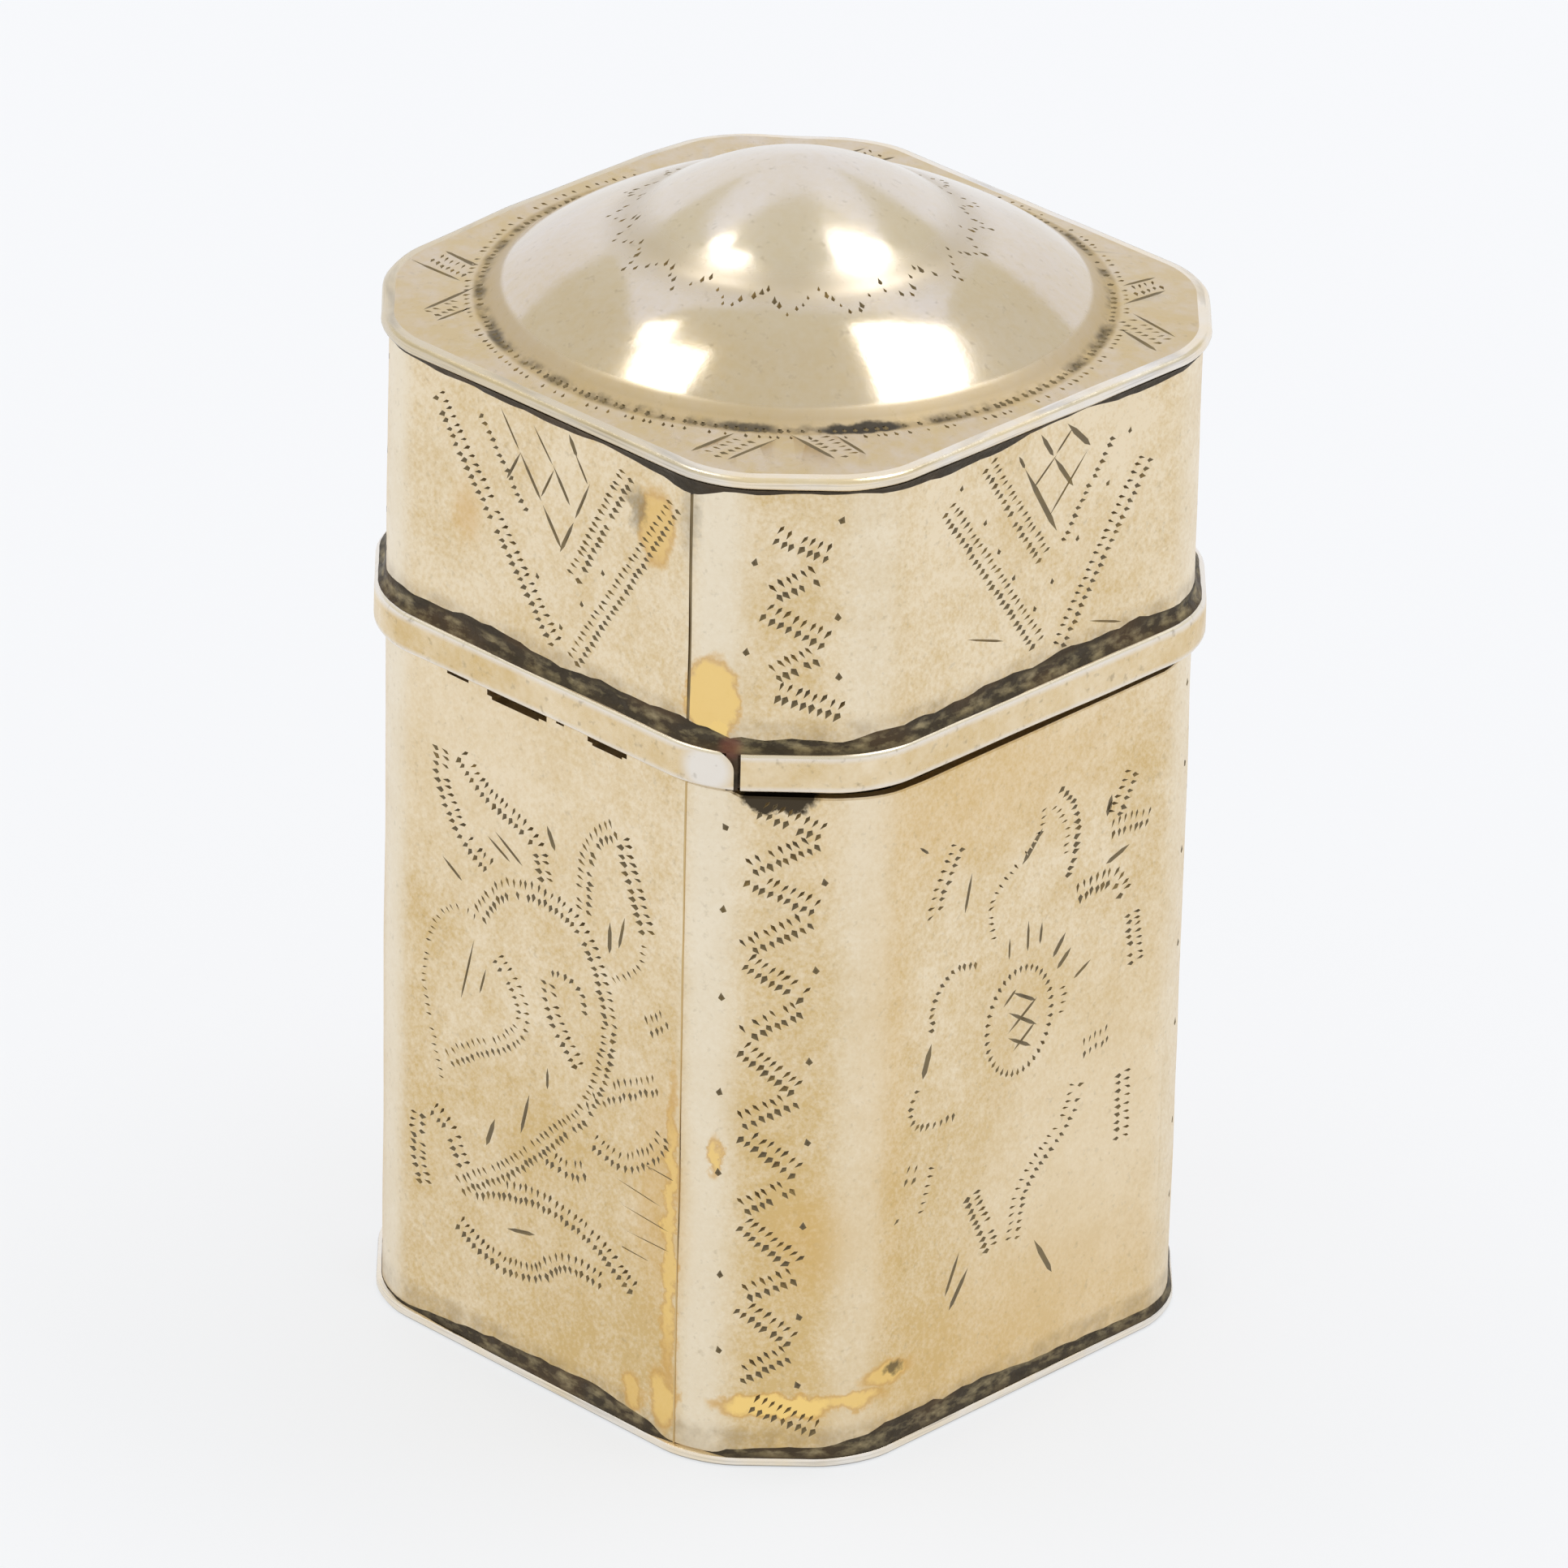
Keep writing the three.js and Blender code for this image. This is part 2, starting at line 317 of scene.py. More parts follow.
def dent(piece, depth, size, kind="CLOUDS", level=0.5):
    """Soft dents of hand-beaten sheet, or pores: depth from hollow to bump, size of one, and level kept."""
    pattern = bpy.data.textures.new(piece.name + "_dents", kind)
    pattern.noise_scale = size
    if kind == "CLOUDS":
        pattern.noise_depth = 1
    beaten = piece.modifiers.new("beaten", "DISPLACE")
    beaten.texture = pattern
    beaten.texture_coords = "LOCAL"
    beaten.strength = depth
    beaten.mid_level = level
    apply_modifier(piece, beaten)


def cut(piece, cutter):
    """Takes the cutter's shape out of a piece, with the cutter's material number on the new faces."""
    taken = piece.modifiers.new("taken", "BOOLEAN")
    taken.operation = "DIFFERENCE"
    taken.solver = "MANIFOLD"
    taken.object = cutter
    apply_modifier(piece, taken)
    bpy.data.objects.remove(cutter)


def block(low, high, turn=0.0):
    """A plain block between two corners, turned about the box's axis, to cut with."""
    deselect()
    middle = [(a + b) / 2 for a, b in zip(low, high)]
    bpy.ops.mesh.primitive_cube_add(size=1, location=middle)
    made = bpy.context.object
    made.scale = [b - a for a, b in zip(low, high)]
    bpy.ops.object.transform_apply(location=True, rotation=True, scale=True)
    made.data.transform(Matrix.Rotation(turn, 4, "Z"))
    return made


def smooth(piece, degrees=32):
    """Smooth shading, with creases where faces meet at more than the angle."""
    pick(piece)
    bpy.ops.object.shade_smooth_by_angle(angle=math.radians(degrees))


def dress(piece, body, slot, node, *materials):
    """Gives a finished piece its body and its materials by name, and hides the frame's node that it stands
    for. The slot is not used.
    """
    for number, name in enumerate(materials):
        material = bpy.data.materials[name]
        if number < len(piece.data.materials):
            piece.data.materials[number] = material
        else:
            piece.data.materials.append(material)
    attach(piece, body)
    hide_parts(node)


# Engraving: every cut is one graver's nick, modelled once and copied along listed lines.

CURVE_PARTS = 24


def graver_tip(name, sides, reach, lean):
    """A pointed cutter, widest near its end: one unit wide, long and deep, and reaching above the surface."""
    deselect()
    height = 1 + reach
    bpy.ops.mesh.primitive_cone_add(
        vertices=sides, radius1=0, radius2=height / 2, depth=height, location=(0, 0, (reach - 1) / 2))
    tip = bpy.context.object
    tip.name = name
    bpy.ops.object.transform_apply(location=True)
    bpy.ops.object.mode_set(mode="EDIT")
    mesh = bmesh.from_edit_mesh(tip.data)
    bpy.ops.mesh.select_all(action="DESELECT")
    # The point and the corners at the sides lean towards the end.
    for vert in mesh.verts:
        vert.select = abs(vert.co.x) > 0.1 or vert.co.z < -0.5
    mesh.select_flush_mode()
    bmesh.update_edit_mesh(tip.data)
    bpy.ops.transform.translate(value=(0, lean, 0))
    face_outwards()
    bpy.ops.object.mode_set(mode="OBJECT")
    return tip


def stamped(name, cuts):
    """One mesh with a copy of a cutter at each place, with its material number."""
    points = []
    faces = []
    numbers = []
    for tip, place, number in cuts:
        first = len(points)
        points.extend(place @ vert.co for vert in tip.data.vertices)
        faces.extend([first + corner for corner in face.vertices] for face in tip.data.polygons)
        numbers.extend([number] * len(tip.data.polygons))
    mesh = bpy.data.meshes.new(name)
    mesh.from_pydata(points, [], faces)
    mesh.polygons.foreach_set("material_index", numbers)
    made = bpy.data.objects.new(name, mesh)
    bpy.context.scene.collection.objects.link(made)
    return made


def flowing(points, pitch):
    """Places and directions, pitch apart, along a smooth line through the points."""
    ends = [Vector(point) for point in points]
    if len(ends) == 2:
        ends.insert(1, (ends[0] + ends[1]) / 2)
    ends = [2 * ends[0] - ends[1], *ends, 2 * ends[-1] - ends[-2]]
    fine = []
    for a, b, c, d in zip(ends, ends[1:], ends[2:], ends[3:]):
        for part in range(CURVE_PARTS):
            t = part / CURVE_PARTS
            fine.append(0.5 * (2 * b + (c - a) * t + (2 * a - 5 * b + 4 * c - d) * t * t
                               + (3 * b - a - 3 * c + d) * t ** 3))
    fine.append(ends[-2])
    whole = sum((b - a).length for a, b in zip(fine, fine[1:]))
    count = max(1, round(whole / pitch))
    wanted = [whole * (place + 0.5) / count for place in range(count)]
    found = []
    run = 0.0
    for a, b in zip(fine, fine[1:]):
        span = (b - a).length
        while wanted and run + span >= wanted[0]:
            found.append((a.lerp(b, (wanted[0] - run) / span), (b - a).normalized()))
            wanted.pop(0)
        run += span
    return found


class Graver:
    """Collects cuts on one piece, with its nicks kept apart from each other, and makes them."""

    CLEAR = 0.31 * MM
    DARK, FAINT = 1, 2
    # Width and length in mm and share of faint nicks in a rocked line's heavy row and in its thin one.
    HEAVY_ROW = (0.27, 0.48, 0.15)
    THIN_ROW = (0.17, 0.5, 0.55)
    # How far a nick strays in mm, how much its slant varies, and the least and most of its size.
    STRAY = 0.03
    TILT = 0.12
    SWELL = (0.8, 1.15)
    # Depths of nicks, long cuts and dots, and the width of a cant's dots, in mm.
    NICK_DEEP = 0.085
    LINE_DEEP = 0.07
    DOT_DEEP = 0.09
    CANT_DOT = 0.34

    def __init__(self, piece, seed, seat=None):
        self.piece = piece
        self.seat = seat
        self.chance = random.Random(seed)
        self.layers = {}
        self.taken = {}
        self.short = graver_tip("graver_nick", sides=4, reach=0.2, lean=0.2)
        self.long = graver_tip("graver_line", sides=6, reach=0.5, lean=0.1)

    def free(self, point, reach):
        """True where no nick lies within reach of a point, which is then taken."""
        cell = tuple(math.floor(value / MM) for value in point)
        for key in itertools.product(*[(place - 1, place, place + 1) for place in cell]):
            if any((other - point).length < reach for other in self.taken.get(key, ())):
                return False
        self.taken.setdefault(cell, []).append(point)
        return True

    def mark(self, tip, flat, along, size, material=DARK, layer=0, reach=CLEAR):
        """One cut at a flat place, pointing along a flat direction: its width, length and depth."""
        point, right, up, out = self.seat(flat)
        if reach and not self.free(point, reach):
            return
        way = (right * along.x + up * along.y).normalized()
        turn = Matrix((way.cross(out), way, out)).transposed().to_4x4()
        place = Matrix.Translation(point) @ turn @ Matrix.Diagonal((*size, 1))
        self.layers.setdefault(layer, []).append((tip, place, material))

    def nick(self, flat, along, wide, long, deep, faint=False):
        """One short nick, in metres."""
        self.mark(self.short, flat, along, (wide, long, deep), self.FAINT if faint else self.DARK)

    def rocked(self, points, weight=1.0, rows=2, lean=0.25):
        """A line of paired nicks, faint on its left and heavy on its right, as a rocked graver leaves it."""
        box = sizes()
        for place, way in flowing([Vector(point) * MM for point in points], box.nick_pitch):
            side = Vector((-way.y, way.x))
            if side.y < 0:
                side = -side
            for row in range(rows):
                thin = row == 1 or rows == 1 and weight < 0.8
                shift = (row - (rows - 1) / 2) * box.nick_gap
                stray = Vector((self.chance.gauss(0, self.STRAY), self.chance.gauss(0, self.STRAY))) * MM
                slant = side + way * (lean + self.chance.gauss(0, self.TILT))
                big = weight * self.chance.uniform(*self.SWELL)
                wide, long, faint = self.THIN_ROW if thin else self.HEAVY_ROW
                size = (wide * MM * big, long * MM * (0.5 + big / 2), self.NICK_DEEP * MM * big)
                self.nick(place + side * shift + stray, slant, *size, self.chance.random() < faint)

    def spray(self, rows):
        """Rocked lines: the weight, number of rows and points of each."""
        for weight, count, points in rows:
            self.rocked(points, weight, count)

    def line(self, start, end, wide, layer=0, deep=LINE_DEEP, material=DARK):
        """One long cut that swells towards its end and tapers away, in mm."""
        first, last = Vector(start) * MM, Vector(end) * MM
        way = last - first
        size = (wide * MM, way.length, deep * MM)
        self.mark(self.long, first + way / 2, way, size, material, layer, reach=0)

    def lines(self, rows, **more):
        """Long cuts: the start, end, width and layer of each."""
        for row in rows:
            self.line(*row, **more)

    def dot(self, place, wide):
        """One triangular dot, in mm."""
        turn = Vector((self.chance.gauss(0, 0.3), -1))
        self.nick(Vector(place) * MM, turn, wide * MM, 1.25 * wide * MM, self.DOT_DEEP * MM)

    def dots(self, places, wide):
        """Triangular dots of one size."""
        for place in places:
            self.dot(place, wide)

    def cants(self, zigzag, weight, dots):
        """The same zigzag with its dots on all four cants of a wall."""
        for turn in CANT_TURNS:
            self.seat = wall_seat(self.piece, turn, cant=True)
            for points in zigzag:
                self.rocked(points, weight)
            self.dots(dots, self.CANT_DOT)

    def engrave(self):
        """Makes all cuts, layer by layer, with the second and third material on the cut faces."""
        for layer in sorted(self.layers):
            cutter = stamped(self.piece.name + "_cuts", self.layers[layer])
            for material in self.piece.data.materials:
                cutter.data.materials.append(material)
            cut(self.piece, cutter)
        for tip in (self.short, self.long):
            bpy.data.objects.remove(tip)


def wall_seat(piece, turn, cant=False):
    """Turns a place on a face or a cant, across and up, into a point and directions on the wall."""
    box = sizes()
    corner = box.bend_radius * math.tan(math.pi / 8)
    if cant:
        flat = box.cant_leg / math.sqrt(2) - corner
        away = cant_away()
    else:
        flat = box.width / 2 - box.cant_leg - corner
        away = box.width / 2

    def seat(place):
        over = max(abs(place.x) - flat, 0) / box.bend_radius
        hand = math.copysign(1, place.x)
        across = place.x if over == 0 else hand * (flat + box.bend_radius * math.sin(over))
        local = Vector((across, box.bend_radius * (1 - math.cos(over)) - away, place.y))
        spin = Matrix.Rotation(turn, 3, "Z")
        out = spin @ Vector((hand * math.sin(over), -math.cos(over), 0))
        right = spin @ Vector((math.cos(over), hand * math.sin(over), 0))
        found, point, _, _ = piece.closest_point_on_mesh(spin @ local)
        if not found:
            raise RuntimeError("no wall under an engraved cut")
        return point, right, Vector((0, 0, 1)), out

    return seat


# Lines of the engraving, in mm across and up a face. A spray has the weight, rows and points of
# each rocked line; lines have the start, end, width and, where they meet, the layer of each long cut.

STEM_SPRAY = (
    (1.0, 2, ((-6.7, 30.2), (-6.6, 28.6), (-5.9, 27.2), (-4.9, 26.0), (-3.4, 25.2))),
    (1.0, 2, ((-5.5, 30.3), (-3.7, 28.9), (-1.6, 28.2), (-0.4, 27.4), (0.2, 25.8))),
    (0.95, 2, ((-4.1, 22.5), (-2.5, 24.4), (0.0, 25.0), (2.5, 24.3), (4.0, 21.8), (4.3, 19.0), (3.0, 15.3),
               (0.9, 13.1), (-1.9, 10.4), (-5.2, 8.1))),
    (0.6, 1, ((-4.2, 22.3), (-5.5, 22.5), (-7.0, 21.0), (-7.6, 18.0), (-7.2, 15.8), (-6.4, 13.2))),
    (0.75, 2, ((-3.0, 20.9), (-1.6, 19.6), (-1.2, 18.0), (-2.4, 16.6), (-4.4, 15.5), (-6.0, 14.4))),
    (0.95, 2, ((2.7, 25.2), (2.8, 27.8), (3.5, 29.3), (4.6, 30.2))),
    (1.1, 2, ((4.9, 30.0), (5.7, 28.0), (6.7, 25.6))),
    (0.7, 1, ((6.6, 25.2), (6.2, 23.8), (4.5, 22.4))),
    (0.9, 2, ((0.4, 21.0), (0.5, 20.0), (1.1, 18.8), (1.9, 17.9), (2.5, 17.2))),
    (0.8, 1, ((0.5, 21.4), (1.5, 21.5), (2.5, 21.1), (2.8, 20.0))),
    (1.0, 2, ((-7.9, 11.0), (-8.0, 9.7), (-7.9, 8.4), (-7.5, 7.3))),
    (0.9, 2, ((-7.1, 11.5), (-6.1, 11.0), (-5.5, 10.2), (-4.9, 9.2))),
    (0.9, 2, ((3.1, 15.2), (4.0, 16.3), (5.2, 17.1), (6.5, 17.8), (7.5, 18.3))),
    (0.85, 2, ((3.4, 13.9), (4.5, 13.6), (5.6, 13.6), (6.8, 14.3), (7.6, 15.0), (7.9, 16.0))),
    (0.9, 2, ((0.4, 12.0), (1.8, 11.8), (3.0, 12.2))),
    (1.0, 2, ((-4.3, 8.3), (-2.6, 9.0), (-0.9, 9.4), (0.9, 9.5), (2.7, 9.2), (4.3, 8.6), (5.5, 7.8),
              (6.3, 7.3))),
    (1.0, 2, ((-5.3, 6.3), (-4.1, 5.7), (-3.0, 5.4), (-1.6, 5.3), (0.0, 5.7), (1.3, 6.7), (2.7, 7.1),
              (4.3, 7.0))),
    (0.85, 2, ((6.8, 21.0), (7.4, 21.4), (8.0, 21.9))),
)
STEM_LINES = (
    ((-3.1, 27.2), (-1.3, 26.1), 0.17), ((-3.6, 26.8), (-2.1, 26.0), 0.16),
    ((-6.5, 24.7), (-5.2, 23.9), 0.18), ((0.2, 28.8), (0.75, 27.7), 0.3),
    ((-4.4, 21.1), (-5.2, 17.9), 0.14), ((-3.6, 20.0), (-4.0, 18.6), 0.14),
    ((4.35, 25.5), (4.35, 23.9), 0.28), ((5.3, 26.1), (4.95, 24.4), 0.2),
    ((0.45, 16.5), (0.45, 15.4), 0.18), ((-0.7, 14.7), (-1.2, 12.6), 0.22),
    ((-2.9, 12.6), (-3.45, 11.0), 0.3), ((-2.1, 7.2), (-0.3, 7.6), 0.22),
)
FLOWER_SPRAY = (
    (1.05, 1, ((1.8, 30.3), (2.7, 29.2), (3.1, 27.7), (2.9, 26.5), (2.5, 25.5))),
    (0.7, 1, ((1.4, 29.6), (2.1, 28.6), (2.4, 27.6), (2.3, 26.7))),
    (0.7, 1, ((0.9, 29.8), (0.6, 28.5), (-0.3, 27.7), (-1.4, 27.0), (-2.2, 26.3), (-2.5, 25.4),
              (-2.3, 24.0))),
    (0.95, 2, ((6.7, 29.6), (6.1, 28.6), (5.5, 27.6))),
    (0.9, 2, ((5.2, 27.0), (6.5, 27.0), (7.9, 26.8))),
    (1.1, 2, ((3.1, 24.4), (4.3, 24.6), (5.6, 24.4), (6.3, 23.4))),
    (0.9, 2, ((6.8, 22.4), (7.0, 21.1), (7.2, 19.5))),
    (0.85, 2, ((-4.7, 29.8), (-5.4, 28.6), (-6.0, 27.5), (-6.2, 26.5))),
    (0.8, 1, ((-3.2, 23.1), (-4.6, 23.4), (-5.6, 22.8), (-6.1, 21.8), (-6.1, 20.6))),
    (0.8, 1, ((-6.9, 18.2), (-7.4, 17.0), (-6.9, 16.2), (-5.7, 15.9), (-4.4, 15.9))),
    (0.75, 1, ((2.3, 20.2), (2.5, 19.4), (2.3, 18.6))),
    (0.7, 2, ((3.8, 16.3), (5.6, 16.5))),
    (0.95, 2, ((6.6, 14.3), (6.6, 12.6), (6.6, 10.6))),
    (0.75, 2, ((3.6, 14.8), (3.1, 13.4), (2.0, 12.2), (0.9, 11.3), (0.1, 10.4), (-0.2, 9.3), (-0.4, 7.9))),
    (1.1, 2, ((-3.3, 11.5), (-2.8, 10.3), (-2.2, 9.0), (-1.9, 8.0))),
    (0.85, 2, ((-7.7, 14.0), (-6.8, 13.7))),
    (0.8, 1, ((-8.3, 11.9), (-7.9, 11.6))),
    (0.7, 1, ((-5.8, 13.9), (-6.2, 12.6), (-6.6, 11.6))),
)
FLOWER_LINES = (
    ((0.9, 28.8), (-0.4, 27.4), 0.3), ((5.3, 28.9), (5.0, 27.9), 0.3), ((6.6, 25.9), (5.0, 25.4), 0.28),
    ((-3.8, 28.1), (-4.2, 26.2), 0.2), ((-6.1, 20.2), (-6.6, 18.6), 0.4), ((0.0, 24.3), (0.0, 22.7), 0.18),
    ((-1.2, 23.8), (-1.2, 22.7), 0.14), ((0.9, 23.9), (0.8, 22.8), 0.18), ((2.5, 22.8), (1.7, 21.8), 0.28),
    ((2.9, 21.9), (2.0, 21.1), 0.28), ((4.2, 20.8), (3.1, 20.2), 0.19), ((-3.9, 8.8), (-4.8, 6.7), 0.22),
    ((-3.3, 7.7), (-4.5, 5.9), 0.3), ((1.0, 7.5), (2.3, 5.3), 0.32), ((-7.3, 30.5), (-6.7, 30.0), 0.15),
    ((-0.9, 20.9), (0.6, 20.0), 0.2), ((-1.2, 20.0), (0.6, 18.8), 0.2), ((-1.2, 18.7), (0.3, 17.8), 0.2),
)
FLOWER_CROSS_LINES = (
    ((-1.5, 20.3), (-0.7, 20.95), 0.17), ((-1.2, 18.8), (0.6, 20.0), 0.17),
    ((-0.8, 17.8), (0.6, 18.8), 0.17),
)
OVAL_MIDDLE = (-0.4, 19.3)
OVAL_HALVES = (2.05, 2.6)
OVAL_NICKS = 36
OVAL_NICK = (0.2 * MM, 0.4 * MM, 0.08 * MM)
SEAM_SCRATCHES = (
    ((6.6, 14.0), (8.5, 13.9), 0.06), ((5.0, 12.6), (7.6, 12.3), 0.06), ((5.6, 11.4), (8.3, 11.2), 0.06),
    ((6.2, 10.2), (8.4, 10.2), 0.06), ((5.2, 9.3), (7.4, 9.2), 0.06),
)

# Zigzag of a cant: where each leg turns, in mm along and up the cant.
CASE_ZIGZAG = (
    ((-1.4, 33.4), (1.5, 32.2)), ((1.3, 31.8), (-1.8, 30.4)), ((-1.9, 30.0), (1.3, 28.4)),
    ((1.1, 27.9), (-2.0, 26.3)), ((-1.9, 25.8), (0.9, 24.0)), ((0.7, 23.4), (-1.9, 22.0)),
    ((-2.0, 21.4), (0.6, 19.3)), ((0.6, 18.9), (-2.0, 17.6)), ((-1.9, 17.1), (0.7, 15.1)),
    ((0.6, 14.5), (-1.8, 13.2)), ((-1.8, 12.5), (0.8, 10.3)), ((0.7, 9.8), (-1.6, 8.8)),
    ((-1.9, 8.3), (0.7, 6.4)), ((0.5, 5.8), (-1.8, 4.5)), ((-1.2, 3.2), (1.9, 1.9)),
)
CASE_ZIGZAG_DOTS = (
    (-2.9, 32.4), (-2.9, 28.3), (-2.9, 23.9), (-2.9, 19.1), (-2.9, 15.0), (-2.7, 9.8), (-2.7, 5.9),
    (1.6, 29.8), (1.3, 25.4), (1.1, 20.8), (1.1, 16.7), (1.0, 12.4), (0.9, 7.7), (0.9, 4.2),
)
LID_ZIGZAG = (
    ((-1.0, 46.8), (1.5, 45.9)), ((1.0, 44.9), (-1.0, 43.9)), ((-1.4, 43.1), (1.5, 41.6)),
    ((1.0, 41.0), (-0.9, 40.0)), ((-0.8, 39.2), (2.2, 38.2)),
)
LID_ZIGZAG_DOTS = ((-1.8, 45.5), (-2.1, 41.1), (2.0, 47.6), (1.9, 42.9), (2.0, 40.0))

# Lid faces: a chevron inside a chevron, with a lattice between the inner arms.
LEFT_CHEVRON = (
    (0.95, 2, ((-7.2, 47.7), (-3.3, 42.8), (0.6, 37.9))),
    (0.8, 1, ((-4.4, 47.6), (-1.3, 43.7))),
    (1.0, 2, ((5.0, 47.9), (3.4, 44.8), (1.7, 41.5))),
    (0.9, 2, ((8.0, 47.4), (4.8, 42.3), (1.7, 37.4))),
)
LEFT_LATTICE = (
    ((-3.1, 48.4), (-1.85, 46.65), 0.13, 0), ((-1.82, 46.6), (-0.42, 44.65), 0.2, 1),
    ((-0.36, 44.55), (0.9, 42.75), 0.22, 2), ((-0.95, 48.2), (0.35, 46.55), 0.12, 0),
    ((0.4, 46.5), (1.4, 45.0), 0.2, 2), ((1.3, 48.5), (1.8, 47.55), 0.27, 0),
    ((1.75, 47.6), (2.5, 46.4), 0.14, 1), ((2.6, 46.5), (1.75, 44.6), 0.17, 3),
    ((1.72, 44.5), (0.9, 42.75), 0.22, 4), ((0.4, 46.5), (-0.4, 44.9), 0.14, 3),
    ((-1.75, 46.55), (-2.6, 45.0), 0.17, 3),
)
LEFT_CHEVRON_DOTS = ((-0.6, 40.9), (3.5, 42.5), (0.9, 38.9), (2.2, 40.5))
RIGHT_CHEVRON = (
    (1.0, 2, ((-6.1, 46.8), (-3.0, 42.4), (0.0, 38.1))),
    (0.9, 2, ((-3.6, 48.2), (-1.7, 45.2), (0.2, 42.3))),
    (0.85, 1, ((4.7, 47.0), (3.0, 44.8), (1.4, 42.6))),
    (0.9, 2, ((6.8, 45.3), (4.0, 41.4), (1.3, 37.5))),
)
RIGHT_LATTICE = (
    ((-1.6, 47.9), (-1.2, 47.2), 0.2, 0), ((-1.15, 47.1), (0.9, 43.6), 0.32, 1),
    ((-0.2, 48.5), (0.65, 47.2), 0.26, 0), ((0.7, 47.1), (2.0, 45.3), 0.28, 1),
    ((1.5, 48.5), (3.0, 47.0), 0.32, 0), ((3.1, 47.0), (0.7, 44.5), 0.13, 2),
    ((1.0, 47.3), (-0.6, 46.0), 0.13, 2), ((2.0, 48.3), (0.9, 47.3), 0.13, 3),
)
RIGHT_CHEVRON_DOTS = (
    (-5.2, 47.5), (-3.6, 45.3), (-2.7, 43.6), (-1.7, 42.0), (-0.3, 40.0), (0.8, 41.0), (2.4, 42.6),
    (4.3, 44.7), (5.6, 46.9),
)
LID_SCRATCHES = (((-4.9, 40.0), (-2.4, 39.1), 0.12), ((3.0, 38.3), (5.3, 37.5), 0.12))
LID_FACES = (
    (LEFT_LATTICE, LEFT_CHEVRON, LEFT_CHEVRON_DOTS, ()),
    (RIGHT_LATTICE, RIGHT_CHEVRON, RIGHT_CHEVRON_DOTS, LID_SCRATCHES),
)

# Corners of the lid's border, in mm from the axis: paired lines with their width, and rows of nicks between.
CORNER_LINES = (
    ((8.3, -11.7), (8.0, -14.7), 0.24), ((9.9, -11.2), (9.7, -14.2), 0.2),
    ((10.1, -10.5), (12.9, -10.6), 0.24), ((11.4, -9.1), (13.5, -9.3), 0.2),
)
CORNER_ROWS = (((9.1, -11.6), (8.9, -14.3)), ((11.0, -9.8), (13.2, -9.95)))


# Materials. Patterns read Object coordinates, in metres, so a scale is one over a real size.


def add(tree, kind, inputs=None, output=0, **settings):
    """Adds a node with its settings, input values and links, and gives one of its outputs."""
    node = tree.nodes.new(kind)
    for name, value in settings.items():
        setattr(node, name, value)
    for name, value in (inputs or {}).items():
        if isinstance(value, bpy.types.NodeSocket):
            tree.links.new(value, node.inputs[name])
        else:
            node.inputs[name].default_value = value
    return node.outputs[output] if len(node.outputs) else None


def blank(name):
    """The empty node tree of a new material."""
    material = bpy.data.materials.new(name)
    material.use_nodes = True
    material.node_tree.nodes.clear()
    return material.node_tree


def coordinates(tree):
    """Object coordinates, and their three parts."""
    where = add(tree, "ShaderNodeTexCoord", output="Object")
    return where, add(tree, "ShaderNodeSeparateXYZ", {"Vector": where}).node.outputs


def per(size_mm):
    """Texture scale at which one cell of a pattern is this many mm wide."""
    return 1 / (size_mm * MM)


def cloud(tree, where, size_mm, low=0.3, high=0.7, to_low=0.0, to_high=1.0, detail=3):
    """Soft patches of one size, as a value that runs from to_low to to_high."""
    patches = add(tree, "ShaderNodeTexNoise", {
        "Vector": where, "Scale": per(size_mm), "Detail": detail, "Roughness": 0.6}, "Fac")
    return add(tree, "ShaderNodeMapRange", {
        "Value": patches, "From Min": low, "From Max": high, "To Min": to_low, "To Max": to_high})


def total(tree, *values, operation="ADD"):
    """The sum of several values, or what another operation makes of them, held between 0 and 1."""
    whole = values[0]
    for number, value in enumerate(values[1:], 2):
        whole = add(tree, "ShaderNodeMath", {0: whole, 1: value}, operation=operation,
                    use_clamp=number == len(values))
    return whole


def distance(tree, value, middle):
    """How far a value is from a middle."""
    away = add(tree, "ShaderNodeMath", {0: value, 1: middle}, operation="SUBTRACT")
    return add(tree, "ShaderNodeMath", {0: away}, operation="ABSOLUTE")


def nearness(tree, value, middle, far, near, strength=1.0):
    """How near a value is to a middle: nothing at a far distance, full strength at a near one."""
    return add(tree, "ShaderNodeMapRange", {
        "Value": distance(tree, value, middle), "From Min": far, "From Max": near, "To Max": strength,
    }, interpolation_type="SMOOTHSTEP")


def layered(tree, skin, *layers):
    """Lays colours over a skin one after another, each by its share."""
    skin = rgba(skin)
    for share, shade in layers:
        skin = add(tree, "ShaderNodeMix", {0: share, 6: skin, 7: rgba(shade)}, 2, data_type="RGBA")
    return skin


def blots(tree, place, spots):
    """A mask of soft spots on a flat place: the middle, half sizes, softness and strength of each, in mm."""
    covered = 0.0
    for middle, halves, soft, strength in spots:
        near = add(tree, "ShaderNodeMapping", {
            "Vector": place, "Scale": (*[per(half) for half in halves], 0),
            "Location": (*[-shift / half for shift, half in zip(middle, halves)], 0)})
        away = add(tree, "ShaderNodeVectorMath", {0: near}, "Value", operation="LENGTH")
        spot = add(tree, "ShaderNodeMapRange", {
            "Value": away, "From Min": 1 + soft, "From Max": 1 - soft, "To Max": strength,
        }, interpolation_type="SMOOTHSTEP")
        covered = add(tree, "ShaderNodeMath", {0: covered, 1: spot}, operation="MAXIMUM")
    return covered


def along_corner(tree, where):
    """The measure along the front corner, from the left face to the right one."""
    return add(tree, "ShaderNodeVectorMath", {
        0: where, 1: (math.sqrt(0.5), math.sqrt(0.5), 0)}, "Value", operation="DOT_PRODUCT")


